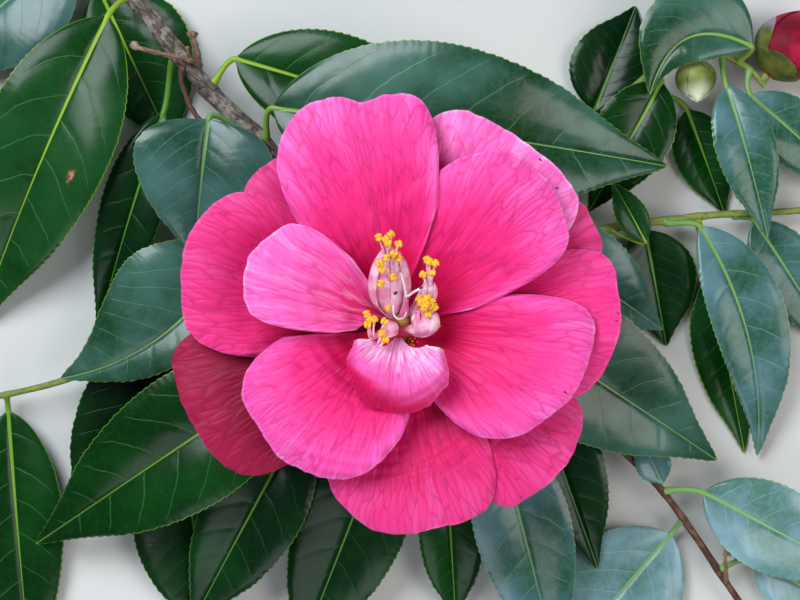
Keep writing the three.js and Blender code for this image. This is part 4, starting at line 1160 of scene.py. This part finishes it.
pistilSizes = {
    "ovary": (1.0, 1.5, 53.0), "ovaryRadii": (2.1, 2.1, 2.6),
    "cushion": (1.0, -0.2, 51.0), "cushionRadii": (4.3, 3.0, 2.2),
    "fork": (1.9, 6.8, 62.0), "trunk": [(0.9, 1.5, 53), (1.5, 3.7, 57.5)], "trunkRadius": (1.25, 0.5),
    "armRadius": (0.34, 0.3), "curlRadius": 0.21, "tipRadii": (0.3, 0.3, 0.55), "tipAxis": (0.8, 0.5, 0.2),
    "arms": [[(1.2, 9.6, 65), (0.5, 12.6, 67)], [(3.5, 8.0, 64.6), (5.2, 8.9, 66)]],
    "curl": [(-1.4, 4.8, 61.5), (-1.3, 2.6, 60.8), (-0.2, 1.5, 60), (1.3, 1.9, 58.6), (1.9, 3.4, 57.5)],
    "tips": [(2.4, 6.7, 62.4), (5.3, 9.0, 66)],
    "pollen": [(2.0, -3.0), (2.7, -3.6), (3.3, -4.2), (2.4, -4.4), (3.9, -3.4), (3.0, -5.0), (4.6, -4.4),
               (1.4, -3.6), (3.6, -5.2), (2.2, -5.1), (10.2, -0.4), (9.4, 0.6), (9.8, 7.4), (10.6, 6.2)],
}


def pistilPiece():
    size = pistilSizes
    fork = size["fork"]

    def trunkRadius(t):
        return mix(*size["trunkRadius"], ease(t, 0.2, 1.0))

    bm = bmesh.new()
    rollUp(bm, smoothLine(size["trunk"] + [fork]), trunkRadius, 14, 20, 0.6, material=2)
    for line in size["arms"]:
        rollUp(bm, smoothLine([fork] + line), lambda t: mix(*size["armRadius"], t), 10, 18, 0.7)
    rollUp(bm, smoothLine(size["curl"]), lambda t: size["curlRadius"], 8, 26)
    for tip in size["tips"]:
        addOval(bm, Vector(tip), Vector(size["tipAxis"]), size["tipRadii"], 3)
    addOval(bm, Vector(size["ovary"]), up, size["ovaryRadii"], 1, (20, 14))
    # a dark crimson cushion at the foot of the stamens, painted shade of the inner petals' bases
    addOval(bm, Vector(size["cushion"]), up, size["cushionRadii"], 5, (28, 12), 0.06)
    carrier = petalNames.index("petal_inner_lower_right")
    for i, (x, y) in enumerate(size["pollen"]):
        angle, out = math.degrees(math.atan2(y, x)), math.hypot(x, y)
        height = float(petalHeight(carrier, np.array([angle]), np.array([out]))[0])
        grain = 0.14 + 0.07 * (i % 3)
        addOval(bm, Vector((x, y, height + 0.35)), up, (grain, grain * 1.4, grain * 0.8), 4, (6, 5))
    order = ("style", "ovary", "inner", "fleck", "anther", "cushion")
    finishPiece("pistil", bm, [skins[skin] for skin in order], "stamen")


pistilPiece()
print("stamens and pistil ready")


# Scales: pointed shells laid over a turned body, used for the cup under the bloom and for the buds

scaleForm = {"cupThickness": 0.35, "budThickness": 0.25, "cells": 16, "bluntness": 2.6, "footWidth": 0.85}


def addScale(bm, surfaceAt, turn, span, start, end, thickness, material, paleTip=True):
    # a turn and half a span in degrees, the start and end as shares of the body's length
    form = scaleForm
    towardTip = bm.verts.layers.float.get("towardTip") or bm.verts.layers.float.new("towardTip")
    verts, faces = addGrid(bm, form["cells"], form["cells"], material)
    for vert in verts:
        y = vert.co.y + 0.5
        vert[towardTip] = mix(start, end, y) if paleTip else 0.0
        width = math.sqrt(max(1 - y ** form["bluntness"], 0.0)) * mix(form["footWidth"], 1.0, ease(y, 0, 0.3))
        side = 2 * vert.co.x * math.radians(span) * max(width, 0.02)
        vert.co = surfaceAt(mix(start, end, y), math.radians(turn) + side)
    bmesh.ops.recalc_face_normals(bm, faces=faces)
    bmesh.ops.solidify(bm, geom=faces, thickness=thickness)


# three rings of scales on the cup: how many, first turn, half span, share of the height, depth, end, material
cupForm = {
    "profile": [(1.5, 34.3), (4.5, 34.6), (7.6, 36.4), (9.2, 39.6)],
    "rings": [(5, 36, 40, 1, 0.55, 0.97, 0), (5, 0, 40, 1, 0.0, 1.0, 0), (4, 20, 44, 0.55, -0.3, 1.0, 1)],
}


def receptaclePiece():
    profile = [Vector(point) for point in cupForm["profile"]]

    def surfaceAt(t, turn, layer):
        spot = limit(t) * (len(profile) - 1)
        cell = min(int(spot), len(profile) - 2)
        radius, z = profile[cell].lerp(profile[cell + 1], spot - cell)
        return Vector(((radius - layer) * math.cos(turn), (radius - layer) * math.sin(turn), z + layer))

    bm = bmesh.new()
    for count, firstTurn, span, share, layer, end, material in cupForm["rings"]:
        for i in range(count):
            addScale(bm, lambda t, turn: surfaceAt(t * share, turn, layer), 360 / count * i + firstTurn, span,
                     0.0, end, scaleForm["cupThickness"], material, False)
    finishPiece("receptacle", bm, [skins["scale"], skins["darkScale"]], "green_scale", recalc=False)


receptaclePiece()

# each scale's turn and half spread in degrees, where it starts and ends along the bud, depth and material
greenScales = [
    (20, 80, 0.04, 0.995, 0.45, 0), (140, 80, 0.04, 0.99, 0.38, 0), (260, 80, 0.04, 0.985, 0.31, 0),
    (80, 76, 0.03, 0.93, 0.24, 0), (200, 76, 0.03, 0.90, 0.18, 0), (320, 76, 0.03, 0.86, 0.12, 0),
    (30, 66, 0.02, 0.50, 0.08, 0), (160, 66, 0.02, 0.45, 0.04, 0), (280, 60, 0.02, 0.38, 0.0, 0),
]
pinkScales = [
    (10, 80, 0.08, 0.995, 0.70, 1), (130, 80, 0.08, 0.99, 0.60, 1), (250, 80, 0.08, 0.985, 0.50, 1),
    (70, 74, 0.06, 0.95, 0.42, 1), (190, 74, 0.04, 0.92, 0.34, 1), (222, 50, 0.04, 0.62, 0.27, 2),
    (40, 60, 0.03, 0.34, 0.27, 2), (310, 60, 0.04, 0.27, 0.20, 2), (130, 66, 0.03, 0.44, 0.20, 2),
    (255, 50, 0.02, 0.22, 0.12, 2), (180, 60, 0.02, 0.28, 0.06, 2), (10, 60, 0.02, 0.19, 0.0, 2),
]
budSizes = {
    "bud_green": {"along": 0.71, "tip": (79.9, 59.2, 15), "length": 12.5, "width": 11, "scales": greenScales,
                  "core": 0.7, "coreSkin": 0, "slot": "green_scale", "skins": ["scale"]},
    "bud_pink": {"along": 0.97, "tip": (113, 84, 11), "length": 22, "width": 19, "scales": pinkScales,
                 "core": 1.0, "coreSkin": 1, "slot": "pink_bud", "skins": ["scale", "pinkBud", "darkScale"]},
}
budForm = {"roundness": 0.8, "coreSpan": (0.02, 0.985), "stalk": 1.15, "stalkSunk": 1.2, "stalkInside": 2}


def budPiece(name, size):
    form = budForm
    parent = limbs["twig_buds"]
    tip, length = Vector(size["tip"]), size["length"]
    root = rootOn(parent, size["along"], outwardFrom(parent, size["along"], tip), seat)
    axis = (tip - root).normalized()
    base = tip - axis * length
    first = axis.orthogonal().normalized()
    second = axis.cross(first)

    def bodyRadius(share):
        body = math.sin(math.pi * share ** form["roundness"])
        return size["width"] / 2 * max(body, 0.0) ** form["roundness"]

    def surfaceAt(share, turn, layer):
        radius = max(bodyRadius(limit(share)) - layer * ease(share, 1.0, 0.9), 0.05)
        return base + axis * (share * length) + (first * math.cos(turn) + second * math.sin(turn)) * radius

    def coreRadius(t):
        body = bodyRadius(mix(*form["coreSpan"], t))
        return max(body - size["core"] * (1 - 0.75 * ease(t, 0.85, 1.0)), 0.1)

    bm = bmesh.new()
    for turn, span, start, end, layer, material in size["scales"]:
        addScale(bm, lambda share, angle: surfaceAt(share, angle, layer), turn, span, start, end,
                 scaleForm["budThickness"], material)
    stalk = smoothLine([root - axis * form["stalkSunk"], base + axis * form["stalkInside"]])
    rollUp(bm, stalk, lambda t: form["stalk"], 12, 8)
    before = len(bm.verts)
    rollUp(bm, smoothLine([base, tip]), coreRadius, 28, 24, material=size["coreSkin"])
    towardTip = bm.verts.layers.float["towardTip"]
    for vert in list(bm.verts)[before:]:
        vert[towardTip] = (vert.co - base).dot(axis) / length
    finishPiece(name, bm, [skins[skin] for skin in size["skins"]], size["slot"], recalc=False)


for budName, budSize in budSizes.items():
    budPiece(budName, budSize)
print("buds ready")
